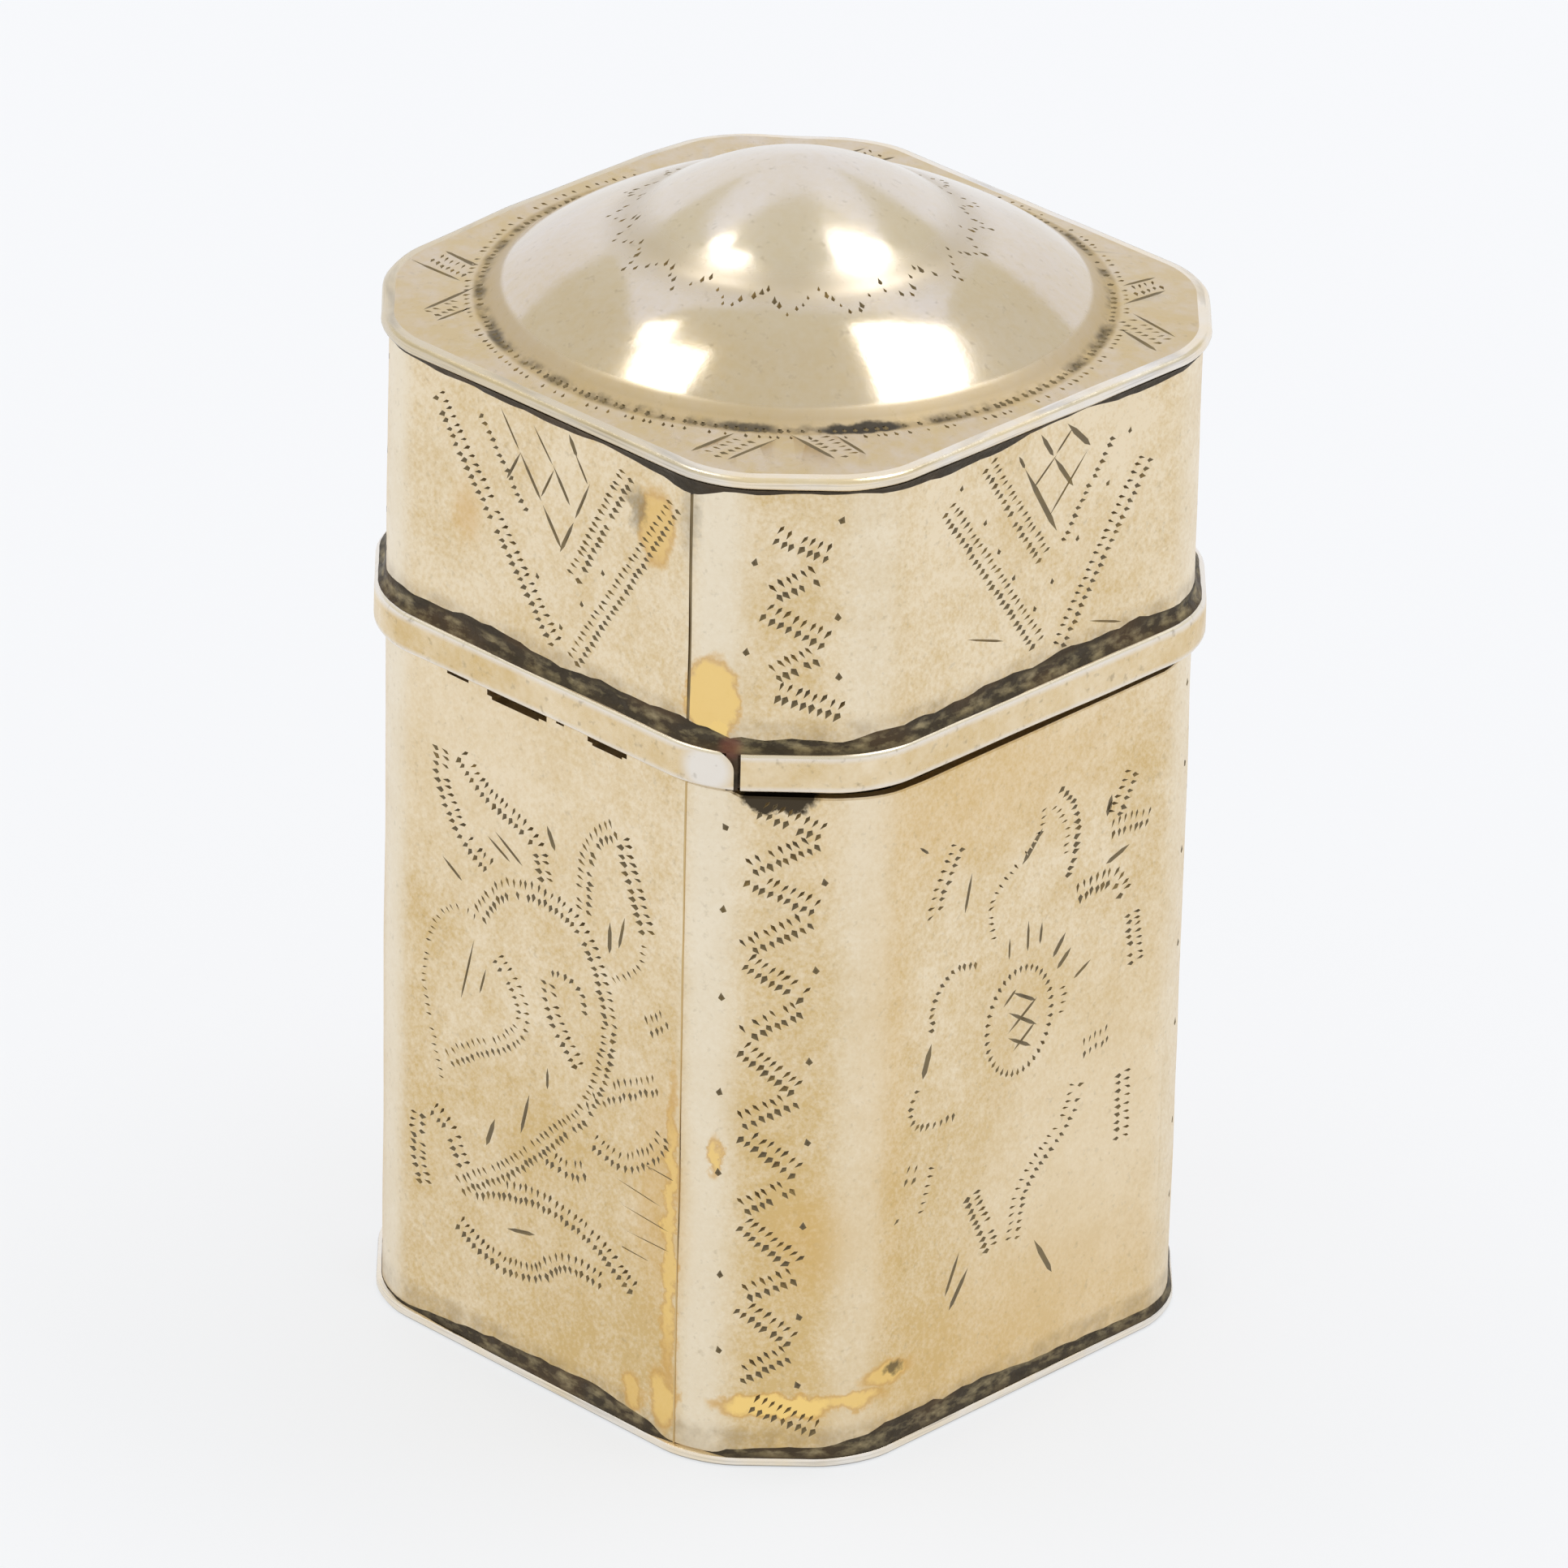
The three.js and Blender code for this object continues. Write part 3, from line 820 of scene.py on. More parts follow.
def corner_stains(tree, where, up, ragged, *lists):
    """Masks of ragged spots at the front corner, by the measure along the corner and another one up."""
    parts = add(tree, "ShaderNodeSeparateXYZ", {"Vector": where}).node.outputs
    place = add(tree, "ShaderNodeCombineXYZ", {"X": along_corner(tree, where), "Y": up})
    stray = add(tree, "ShaderNodeTexNoise", {
        "Vector": where, "Scale": per(1.0), "Detail": 5, "Roughness": 0.6}, "Color")
    stray = add(tree, "ShaderNodeVectorMath", {0: stray, 1: (0.5, 0.5, 0.5)}, operation="SUBTRACT")
    place = add(tree, "ShaderNodeVectorMath", {
        0: stray, 1: (ragged, ragged, 0), 2: place}, operation="MULTIPLY_ADD")
    front = add(tree, "ShaderNodeMath", {0: parts["X"], 1: parts["Y"]}, operation="SUBTRACT")
    front = add(tree, "ShaderNodeMath", {0: front, 1: 6 * MM}, operation="GREATER_THAN")
    return [total(tree, blots(tree, place, spots), front, operation="MULTIPLY") for spots in lists]


def surface(tree, skin, dull, metallic=1.0, *bumps):
    """Joins colour, roughness and reliefs (height, strength, depth in mm) into a material's surface."""
    inputs = {"Base Color": skin, "Roughness": dull, "Metallic": metallic}
    for height, strength, deep in bumps:
        relief = {"Height": height, "Strength": strength, "Distance": deep * MM}
        if "Normal" in inputs:
            relief["Normal"] = inputs["Normal"]
        inputs["Normal"] = add(tree, "ShaderNodeBump", relief)
    add(tree, "ShaderNodeOutputMaterial", {"Surface": add(tree, "ShaderNodeBsdfPrincipled", inputs)})


# Stains at the front corner, in mm: middle and half sizes along the corner and up, softness and strength.
# Along a face, the measure along the corner runs 1 / sqrt 2 as fast as the face's own.
AMBER_STAINS = (
    ((-3.5, 38.6), (1.2, 2.0), 0.2, 0.9), ((-3.3, 37.0), (0.5, 0.9), 0.4, 0.95),
    ((-6.1, 45.9), (0.7, 1.8), 0.35, 0.75), ((-4.95, 11.0), (0.3, 7.5), 0.5, 0.85),
    ((-5.4, 12.5), (1.0, 4.5), 0.95, 0.25), ((-6.5, 2.2), (0.45, 0.85), 0.4, 0.8),
    ((-5.2, 2.5), (0.55, 1.5), 0.4, 0.85), ((0.1, 3.05), (2.7, 0.6), 0.3, 1.0),
    ((3.3, 3.15), (1.5, 0.42), 0.5, 0.9), ((5.0, 4.1), (1.1, 0.55), 0.5, 0.85),
    ((-3.0, 15.7), (0.28, 0.9), 0.5, 0.9), ((1.2, 11.5), (1.5, 2.4), 0.95, 0.2),
    ((-14.6, 42.4), (0.6, 1.3), 0.8, 0.3),
)
DARK_STAINS = (
    ((-0.45, 33.95), (1.75, 0.85), 0.12, 1.0), ((5.4, 4.25), (0.35, 0.28), 0.5, 0.8),
    ((-6.95, 46.4), (0.4, 0.9), 0.5, 0.45), ((-4.6, 46.9), (0.35, 1.6), 0.8, 0.3),
)
# Where the walls are paler and where more golden than elsewhere.
PALE_AREAS = (((14.8, 10.5), (5.0, 8.0), 0.95, 0.6), ((-15.5, 31.5), (6.0, 5.0), 0.95, 0.45))
GOLD_AREAS = (
    ((8.5, 32.0), (6.0, 3.0), 0.95, 0.35), ((11.0, 3.0), (7.0, 4.0), 0.95, 0.3),
    ((4.2, 18.0), (1.2, 14.0), 0.9, 0.3),
)
# Dark smears at the dome's foot, in mm: along the corner and out from the axis.
FOOT_SMEARS = (
    ((2.8, 14.2), (1.9, 0.34), 0.25, 1.0), ((-2.3, 14.2), (1.3, 0.3), 0.4, 0.85),
    ((-13.6, 14.2), (0.5, 0.35), 0.5, 0.7),
)


def tarnished_silver():
    """Silver sheet, beaten by hand and long tarnished: satin, pale near the top and golden lower down, rubbed
    bright along the bends with a painted highlight on them, with fine grain, polishing scratches, brown
    tarnish and painted shade above the solder, and amber and dark stains at the front corner."""
    shades = finish()
    tree = blank("tarnished_silver_sheet")
    where, parts = coordinates(tree)
    down = add(tree, "ShaderNodeMapRange", {
        "Value": parts["Z"], "From Min": 2 * MM, "From Max": 46 * MM, "To Min": 0.24, "To Max": -0.22})
    reach = [add(tree, "ShaderNodeMath", {0: parts[axis]}, operation="ABSOLUTE") for axis in "XY"]
    inward = add(tree, "ShaderNodeMath", {0: reach[0], 1: reach[1]}, operation="MINIMUM")
    bend = sizes().width / 2 - sizes().cant_leg - 0.2 * MM
    cant = add(tree, "ShaderNodeMapRange", {
        "Value": inward, "From Min": bend + 0.8 * MM, "From Max": bend + 2.2 * MM, "To Max": 0.12})
    slant = add(tree, "ShaderNodeMapping", {
        "Vector": where, "Rotation": (0.7, 0.6, 0.3), "Scale": (1, 1, 30)}, vector_type="TEXTURE")
    mottle = cloud(tree, where, 2.0, 0.3, 0.7, -0.14, 0.14, 4)
    grain = cloud(tree, where, 0.26, 0.3, 0.7, -0.3, 0.3)
    tint = total(tree, down, cant, cloud(tree, where, 8, 0.32, 0.68, 0.18, 0.72, 4), mottle, grain,
                 cloud(tree, slant, 0.14, 0.35, 0.65, -0.12, 0.12, 2))
    # Rubbed wear along the bends with a painted highlight on them, brighter on the left bend than on the
    # right one.
    wear_and_sheen_share = add(tree, "ShaderNodeMapRange", {
        "Value": along_corner(tree, where), "From Min": -4 * MM, "From Max": 4 * MM,
        "To Min": 0.75, "To Max": 0.4})
    wear_and_sheen = total(tree, nearness(tree, inward, bend, 1.9 * MM, 0.3 * MM), wear_and_sheen_share, operation="MULTIPLY")
    # Brown tarnish above the base's and the band's solder, with painted shade where the wall meets the
    # solder.
    tarnish_and_shade = total(tree, *[nearness(tree, parts["Z"], height + 0.7 * MM, 1.1 * MM, 0.3 * MM, 0.4)
                         for height in (BASE_HIGH.z, BAND_HIGH.z)])
    tarnish_and_shade = total(tree, tarnish_and_shade, cloud(tree, where, 1.2, 0.35, 0.65, 0.2, 1.0), operation="MULTIPLY")
    pale, gold, amber, dark = corner_stains(
        tree, where, parts["Z"], 1.4 * MM, PALE_AREAS, GOLD_AREAS, AMBER_STAINS, DARK_STAINS)
    rim = add(tree, "ShaderNodeMath", {0: amber, 1: 0.5}, operation="PINGPONG")
    skin = layered(
        tree, shades.pale_silver, (tint, shades.gold_tarnish), (pale, "F5E4C6"), (gold, "E2BC78"),
        (wear_and_sheen, "F3E8D2"), (cloud(tree, where, 0.34, 0.6, 0.78, 0, 0.22, 2), "8F7B55"), (tarnish_and_shade, "8A7350"),
        (amber, shades.amber_stain), (rim, "C08A3E"), (dark, shades.dark_solder))
    surface(tree, skin, cloud(tree, where, 1.6, 0.3, 0.7, 0.28, 0.42), 1.0,
            (grain, 0.3, 0.01), (mottle, 0.5, 0.05))


def raised_silver():
    """The same silver, raised over a stake and rubbed by the hand: nearly a mirror, grey and pinkish with a
    thin gold film, rubbed clean on the crown, dull in the crease and mottled on the border, with tiny pits,
    and dark tarnish and smears round the foot."""
    shades = finish()
    tree = blank("raised_silver_dome")
    where = add(tree, "ShaderNodeTexCoord", output="Object")
    flat = add(tree, "ShaderNodeVectorMath", {0: where, 1: (1, 1, 0)}, operation="MULTIPLY")
    radius = add(tree, "ShaderNodeVectorMath", {0: flat}, "Value", operation="LENGTH")
    foot = sizes().dome_radius
    border, wear_and_sheen, satin = [add(tree, "ShaderNodeMapRange", {
        "Value": radius, "From Min": start, "From Max": end, "To Max": share}) for start, end, share in (
            (foot - 0.6 * MM, foot + 0.8 * MM, 1.0), (11 * MM, 7 * MM, 0.3), (6.3 * MM, 5 * MM, 0.05))]
    film = total(tree, cloud(tree, where, 7, 0.3, 0.7, 0, 0.45),
                 cloud(tree, where, 0.5, 0.3, 0.7, -0.15, 0.15),
                 total(tree, border, cloud(tree, where, 1.2, 0.3, 0.7, 0.1, 0.9), operation="MULTIPLY"))
    tarnish = total(tree, nearness(tree, radius, foot + 0.2 * MM, 0.45 * MM, 0.08 * MM),
                    cloud(tree, where, 1.3, 0.45, 0.68, 0.05, 0.85, 4), operation="MULTIPLY")
    crease = nearness(tree, radius, sizes().dome_step_radius, 1.7 * MM, 0.1 * MM, 0.24)
    # A darker, duller band round the dome's foot.
    foot_band = nearness(tree, radius, foot - 0.1 * MM, 0.8 * MM, 0.5 * MM, 0.38)
    smears, = corner_stains(tree, where, radius, 0.7 * MM, FOOT_SMEARS)
    skin = layered(
        tree, shades.dome_silver, (film, shades.dome_film), (wear_and_sheen, shades.bright_silver),
        (total(tree, border, 0.18, operation="MULTIPLY"), "C4A468"),
        (cloud(tree, where, 0.4, 0.62, 0.8, 0, 0.22, 2), shades.cut_oxide),
        (foot_band, "B39C6A"), (crease, "94805A"), (tarnish, shades.dark_solder), (smears, "55504A"))
    rough = add(tree, "ShaderNodeMath", {0: border, 1: 0.16, 2: 0.1}, operation="MULTIPLY_ADD")
    dull = total(tree, rough, satin, foot_band, crease, cloud(tree, where, 5, 0.3, 0.7, 0, 0.06))
    surface(tree, skin, dull, 1.0, (cloud(tree, where, 0.4), 0.2, 0.004))


def oxide_in_cuts():
    """Silver sulphide that polish leaves in the cuts: dark brown and matt where it is thick, and a thin brown
    film in the shallow cuts, with a little metal showing through."""
    for name, thick, thin, metal in (("oxide_in_cuts", finish().cut_oxide, "8F7C52", 0.5),
                                     ("thin_oxide_in_cuts", "7C6947", "B59C68", 0.7)):
        tree = blank(name)
        where = add(tree, "ShaderNodeTexCoord", output="Object")
        surface(tree, layered(tree, thick, (cloud(tree, where, 2.2, 0.45, 0.72, 0, 0.75), thin)), 0.5, metal)


def rubbed_silver():
    """Silver at edges that hands and tables rub: white and glossy, with gold film left in patches, grey
    streaks along the edge, and a painted contact shadow where the base meets the table."""
    shades = finish()
    tree = blank("rubbed_silver_edge")
    where, parts = coordinates(tree)
    level = add(tree, "ShaderNodeMapping", {"Vector": where, "Scale": (0.12, 0.12, 5)})
    # Painted contact shadow along the base's lowest edge, where it meets the table.
    painted_shade = nearness(tree, parts["Z"], 0.0, 0.17 * MM, 0.05 * MM, 0.9)
    left = add(tree, "ShaderNodeMapRange", {
        "Value": along_corner(tree, where), "From Min": -3 * MM, "From Max": -8 * MM, "To Max": 0.6})
    lid = add(tree, "ShaderNodeMath", {0: parts["Z"], 1: TOP_LOW.z - MM}, operation="GREATER_THAN")
    skin = layered(
        tree, shades.bright_silver, (cloud(tree, where, 4, 0.35, 0.65, 0, 0.8, 4), shades.pale_silver),
        (total(tree, left, lid, operation="MULTIPLY"), "CDBC98"),
        (cloud(tree, level, 0.6, 0.5, 0.75, 0, 0.5), "8C867C"), (painted_shade, "55504A"))
    surface(tree, skin, cloud(tree, where, 3, 0.3, 0.7, 0.18, 0.32), 1.0,
            (cloud(tree, where, 0.6), 0.3, 0.02))


def band_silver():
    """The rim band's silver: golden on its face, rubbed white along both edges under a painted highlight,
    and left of its joint.
    """
    shades = finish()
    tree = blank("rim_band_silver")
    where, parts = coordinates(tree)
    middle = (BAND_LOW.z + BAND_HIGH.z) / 2
    half = (BAND_HIGH.z - BAND_LOW.z) / 2
    # Both edges: rubbed wear with a painted highlight on their rounding.
    edge = add(tree, "ShaderNodeMapRange", {
        "Value": distance(tree, parts["Z"], middle), "From Min": half - 0.4 * MM, "From Max": half - 0.1 * MM,
        "To Max": 0.9})
    end = add(tree, "ShaderNodeVectorMath", {
        0: where, 1: joint_point(middle, -1.3 * MM)}, "Value", operation="DISTANCE")
    end = nearness(tree, end, 0.0, 1.6 * MM, 0.7 * MM, 0.9)
    gold = total(tree, cloud(tree, where, 3, 0.3, 0.7, 0.1, 0.9, 4),
                 cloud(tree, where, 0.3, 0.3, 0.7, -0.15, 0.15))
    skin = layered(
        tree, shades.pale_silver, (gold, shades.gold_tarnish),
        (total(tree, edge, end, operation="MAXIMUM"), shades.bright_silver),
        (cloud(tree, where, 0.5, 0.6, 0.75, 0, 0.4, 2), "7A6A4C"))
    surface(tree, skin, cloud(tree, where, 2, 0.3, 0.7, 0.22, 0.36))


def blackened_solder():
    """Lead-rich solder, blackened by age: rough and dark, with rubbed grey-gold glints gathered into a
    painted highlight along the middle of each fillet, brown crust and a rusty lump above the rim band's
    joint."""
    shades = finish()
    tree = blank("blackened_solder")
    where, parts = coordinates(tree)
    run = add(tree, "ShaderNodeMapping", {"Vector": where, "Scale": (1, 1, 2.5)})
    rust = add(tree, "ShaderNodeVectorMath", {
        0: where, 1: joint_point(BAND_HIGH.z + 0.1 * MM, -0.3 * MM)}, "Value", operation="DISTANCE")
    # Painted highlight along the middle of each fillet's height, where the rubbed glints gather.
    mid_fillet_highlight = total(tree, nearness(tree, parts["Z"], BAND_HIGH.z + 0.35 * MM, 0.5 * MM, 0.15 * MM),
                 nearness(tree, parts["Z"], BASE_HIGH.z + 0.45 * MM, 0.6 * MM, 0.15 * MM))
    glint = total(tree, mid_fillet_highlight, cloud(tree, run, 1.0, 0.45, 0.7, 0, 0.85, 5), operation="MULTIPLY")
    skin = layered(
        tree, shades.dark_solder, (cloud(tree, run, 0.5, 0.4, 0.7, 0, 0.6, 5), "2E281F"),
        (cloud(tree, run, 4, 0.45, 0.7, 0, 0.5), "6A5136"), (glint, shades.solder_glint),
        (nearness(tree, rust, 0.0, 0.75 * MM, 0.2 * MM, 0.8), "7D5044"))
    surface(tree, skin, cloud(tree, run, 1.1, 0.5, 0.7, 0.58, 0.36), 0.7,
            (cloud(tree, where, 0.7, 0.3, 0.7, 0, 1, 4), 0.6, 0.08))


def golden_solder():
    """Hard solder in the seams: like the sheet in the case's fine seam, darkened in the lid's wider one."""
    shades = finish()
    tree = blank("golden_seam_solder")
    where, parts = coordinates(tree)
    lid = add(tree, "ShaderNodeMath", {0: parts["Z"], 1: LID_LOW.z}, operation="GREATER_THAN")
    aged = total(tree, total(tree, lid, 0.65, operation="MULTIPLY"),
                 cloud(tree, where, 3, 0.35, 0.65, 0, 0.18))
    surface(tree, layered(tree, shades.seam_solder, (aged, shades.dark_solder)), 0.4)


def gilt_silver():
    """Gilding inside the box, worn by the lid: warm gold with fine upright rubbing marks, and painted shade,
    nearly black, just above the case's edge, where the collar shows through gaps at the parting."""
    shades = finish()
    tree = blank("gilt_silver_inside")
    where, parts = coordinates(tree)
    upright = add(tree, "ShaderNodeMapping", {"Vector": where, "Scale": (1, 1, 0.06)})
    ragged = cloud(tree, where, 1.5, 0.3, 0.7, -0.4 * MM, 0.4 * MM)
    # Painted shade: the collar turns nearly black just above the case's edge, so that the gaps at the parting
    # read dark.
    painted_shade = add(tree, "ShaderNodeMapRange", {
        "Value": total(tree, parts["Z"], ragged), "From Min": CASE_HIGH.z + 1.2 * MM,
        "From Max": CASE_HIGH.z + 0.3 * MM, "To Max": 0.95})
    skin = layered(
        tree, shades.gilt, (cloud(tree, where, 6, 0.45, 0.72, 0, 0.7), shades.pale_silver), (painted_shade, "2A2219"))
    surface(tree, skin, cloud(tree, upright, 0.35, 0.35, 0.65, 0.24, 0.4), 1.0,
            (cloud(tree, upright, 0.35, 0.35, 0.65), 0.25, 0.01))


def natural_sponge():
    """Dry natural sponge: matt, with painted shade in the mouths of pores and pale fibre between them."""
    tree = blank("natural_sponge")
    where = add(tree, "ShaderNodeTexCoord", output="Object")
    pores = add(tree, "ShaderNodeTexVoronoi", {"Vector": where, "Scale": per(0.9)}, "Distance")
    # Painted shade in the mouths of the pores.
    pore_shade = add(tree, "ShaderNodeMapRange", {
        "Value": pores, "From Min": 0.12, "From Max": 0.42, "To Min": 1, "To Max": 0})
    skin = layered(
        tree, finish().sponge, (pore_shade, "6E5128"), (cloud(tree, where, 0.3, 0.5, 0.75, 0, 0.5), "E2C793"))
    surface(tree, skin, 0.92, 0.0, (pores, 0.8, 0.25))


def white_floor():
    """White paper: the camera and mirrors see it nearly white, and it keeps a faint shadow."""
    tree = blank("white_paper_floor")
    rays = add(tree, "ShaderNodeLightPath").node.outputs
    seen = total(tree, *[rays[f"Is {kind} Ray"] for kind in ("Camera", "Glossy", "Transmission")],
                 operation="MAXIMUM")
    paper = add(tree, "ShaderNodeBsdfDiffuse", {"Color": rgba("EDEFFF")})
    glow = add(tree, "ShaderNodeEmission", {"Color": rgba("FCFEFF"), "Strength": 1.0})
    mixed = add(tree, "ShaderNodeMixShader", {
        0: total(tree, seen, 0.68, operation="MULTIPLY"), 1: paper, 2: glow})
    add(tree, "ShaderNodeOutputMaterial", {"Surface": mixed})


def studio_ceiling():
    """Yellowish grey ceiling of the studio, which only mirrors and the light in the room see."""
    tree = blank("yellowish_studio_ceiling")
    glow = add(tree, "ShaderNodeEmission", {"Color": rgba("E4DFCC"), "Strength": 1.0})
    add(tree, "ShaderNodeOutputMaterial", {"Surface": glow})


class SCENTBOX_OT_finishes(bpy.types.Operator):
    """Make the metals, solders and sponge that the pieces wear"""

    bl_idname = "scentbox.finishes"
    bl_label = "Finishes"

    def execute(self, context):
        for make in (tarnished_silver, raised_silver, oxide_in_cuts, rubbed_silver, band_silver,
                     blackened_solder, golden_solder, gilt_silver, natural_sponge):
            make()
        return {"FINISHED"}


# Walls: the rounding of their edges, and the height of one row of faces outside.
WALL_EDGE = 0.07 * MM
WALL_STEP = 0.7 * MM
SEAM_CUTS = 40
# How far the lid's top edge is bowed up along its hidden left side, in mm: along that side, and up. The bow
# starts outside one distance from the axis, and it is full from another one to the left.
EDGE_BOW = ((-10.5, 0.0), (-3.0, 0.4), (6.0, 0.4), (13.0, 0.0))
BOW_CLEAR = 14.3 * MM
BOW_FULL = 13 * MM
# How far the case's upper edge sinks on its right side, in mm: along the front corner, and down.
EDGE_DROP = ((-2.6, 0.0), (-2.2, 0.24), (2.5, 0.3), (6.0, 0.5), (11.0, 0.42), (17.0, 0.3), (18.2, 0.0))
# Dips in the same edge on the front left face, in mm: from, to, and down.
EDGE_DIPS = (
    (-6.3, -4.9, 0.2), (-3.7, 0.1, 0.34), (-3.4, -0.4, 0.48), (0.7, 1.2, 0.16), (2.7, 5.2, 0.32),
    (3.0, 4.9, 0.44),
)


def wall(name, low, high):
    """A folded strip of sheet between two heights, with rounded edges and the dents of hand work."""
    box = sizes()
    edge = WALL_EDGE
    outer = [(0.0, height) for height in steps(low + edge, high - edge, WALL_STEP)]
    inner = [(-box.sheet, height) for height in steps(low + edge, high - edge, 4 * WALL_STEP)]
    rim = [(-edge, high), (edge - box.sheet, high)]
    foot = [(edge - box.sheet, low), (-edge, low)]
    piece = loft(name, outer + rim + inner[::-1] + foot)
    dent(piece, box.dent_depth, DENT_SIZE)
    return piece


def seam_block(low, high, gap, proud):
    """A block in the wall's seam, at the bend beside the front cant, proud of the sheet on both sides."""
    box = sizes()
    outside = -box.width / 2
    return block((box.seam_place - gap / 2, outside - proud, low),
                 (box.seam_place + gap / 2, outside + box.sheet + proud, high))


def read_off(points, value):
    """The height of a line through points at a value, held at its ends."""
    for (a, low), (b, high) in zip(points, points[1:]):
        if value <= b:
            return low + (high - low) * max(0.0, value - a) / (b - a)
    return points[-1][1]


def bow_edge(piece):
    """Bows the lid's top edge up along its hidden left side, as its outline in the photograph shows."""
    for vert in piece.data.vertices:
        if vert.co.z > TOP_LOW.z - MM and vert.co.xy.length > BOW_CLEAR and vert.co.x < 0:
            side = min(1.0, -vert.co.x / BOW_FULL)
            vert.co.z += side * MM * read_off(EDGE_BOW, vert.co.y / MM)


def settle_case_edge(piece):
    """Sinks the case's upper edge where the lid doesn't close down on it, so that a dark line shows."""
    half = sizes().width / 2
    top = CASE_HIGH.z
    for vert in piece.data.vertices:
        if vert.co.z > top - 0.5 * MM and vert.co.x > 2 / 3 * half:
            vert.co.z -= MM * read_off(EDGE_DROP, corner_mm(vert.co))
    for start, end, down in EDGE_DIPS:
        cut(piece, block((start * MM, -half - MM, top - down * MM), (end * MM, MM - half, top + MM)))


def engrave_oval(graver):
    """The flower's middle: a ring of nicks, every fifth one faint."""
    for part in range(OVAL_NICKS):
        angle = 2 * math.pi * part / OVAL_NICKS
        way = Vector((math.cos(angle), math.sin(angle)))
        place = Vector([a + b * c for a, b, c in zip(OVAL_MIDDLE, OVAL_HALVES, way)])
        graver.nick(place * MM, way, *OVAL_NICK, part % 5 == 2)


def engrave_case(piece):
    """Sprays on the faces and zigzags on the cants. The two hidden faces repeat the visible ones."""
    graver = Graver(piece, 11)
    for number, turn in enumerate(FACE_TURNS):
        graver.seat = wall_seat(piece, turn)
        if number % 2:
            graver.lines(FLOWER_LINES)
            graver.spray(FLOWER_SPRAY)
            engrave_oval(graver)
            graver.lines(FLOWER_CROSS_LINES, layer=1)
        else:
            graver.lines(STEM_LINES)
            graver.spray(STEM_SPRAY)
            graver.lines(SEAM_SCRATCHES, deep=0.02, material=graver.FAINT)
    graver.cants(CASE_ZIGZAG, 1.05, CASE_ZIGZAG_DOTS)
    graver.engrave()


def engrave_lid(piece):
    """Chevrons and lattices on the lid's faces, zigzags on its cants."""
    graver = Graver(piece, 23)
    for number, turn in enumerate(FACE_TURNS):
        graver.seat = wall_seat(piece, turn)
        lattice, chevron, dots, scratches = LID_FACES[number % 2]
        graver.lines(lattice)
        graver.spray(chevron)
        graver.dots(dots, 0.26)
        graver.lines(scratches, deep=0.03, material=graver.FAINT)
    graver.cants(LID_ZIGZAG, 1.1, LID_ZIGZAG_DOTS)
    graver.engrave()


class SCENTBOX_OT_walls(bpy.types.Operator):
    """Fold the case's and the lid's wall, open their seams and engrave them"""

    bl_idname = "scentbox.walls"
    bl_label = "Walls"

    def execute(self, context):
        gap = sizes().seam_gap
        case = wall("case_sheet", CASE_LOW.z, CASE_HIGH.z)
        settle_case_edge(case)
        lid = wall("lid_sheet", LID_LOW.z, LID_HIGH.z)
        bow_edge(lid)
        for piece, body, engrave, low, high, wide, node in (
                (case, "case", engrave_case, CASE_LOW.z, CASE_HIGH.z, gap, "case_wall"),
                (lid, "lid", engrave_lid, LID_LOW.z, LID_HIGH.z, LID_SEAM * gap, "lid_wall")):
            dress(piece, body, "tarnished_silver", node, "tarnished_silver_sheet", *CUT_FILMS)
            engrave(piece)
            cut(piece, seam_block(low - MM, high + MM, wide, MM))
            smooth(piece)
        return {"FINISHED"}


class SCENTBOX_OT_seams(bpy.types.Operator):
    """Run solder down the two seams: flush in the case, a hair under the surface in the lid"""

    bl_idname = "scentbox.seams"
    bl_label = "Seam solder"

    def execute(self, context):
        gap = sizes().seam_gap
        for name, body, low, high, wide, shy, node in (
                ("case_seam", "case", CASE_LOW.z, CASE_HIGH.z, gap, 0.0, "case_seam_solder"),
                ("lid_seam", "lid", LID_LOW.z, LID_HIGH.z, LID_SEAM * gap, 0.05 * MM, "lid_seam_solder")):
            strip = seam_block(low, high, wide, -shy)
            strip.name = name
            bpy.ops.object.mode_set(mode="EDIT")
            bpy.ops.mesh.select_all(action="SELECT")
            bpy.ops.mesh.subdivide(number_cuts=SEAM_CUTS)
            bpy.ops.object.mode_set(mode="OBJECT")
            dent(strip, sizes().dent_depth, DENT_SIZE)
            smooth(strip)
            dress(strip, body, "seam_solder", node, "golden_seam_solder")
        return {"FINISHED"}


def close_ends(piece, last):
    """Fills the first and the last ring of a loft."""
    pick(piece)
    bpy.ops.object.mode_set(mode="EDIT")
    for tag in (1, last):
        select_tagged(piece, tag)
        bpy.ops.mesh.edge_face_add()
    face_outwards()
    bpy.ops.object.mode_set(mode="OBJECT")


class SCENTBOX_OT_base(bpy.types.Operator):
    """Make the base plate, with edges rubbed round"""

    bl_idname = "scentbox.base"
    bl_label = "Base plate"

    def execute(self, context):
        grow = BASE_HIGH.x - sizes().width / 2
        low, high = BASE_LOW.z, BASE_HIGH.z
        edge = 0.14 * MM
        section = [(grow - 1.6 * edge, low), (grow - 0.4 * edge, low + 0.4 * edge), (grow, low + edge),
                   (grow, high - edge), (grow - 0.3 * edge, high - 0.3 * edge), (grow - edge, high)]
        plate = loft("base_sheet", section, closed=False)
        close_ends(plate, len(section))
        smooth(plate)
        dress(plate, "case", "bright_silver", "base_plate", "rubbed_silver_edge")
        return {"FINISHED"}


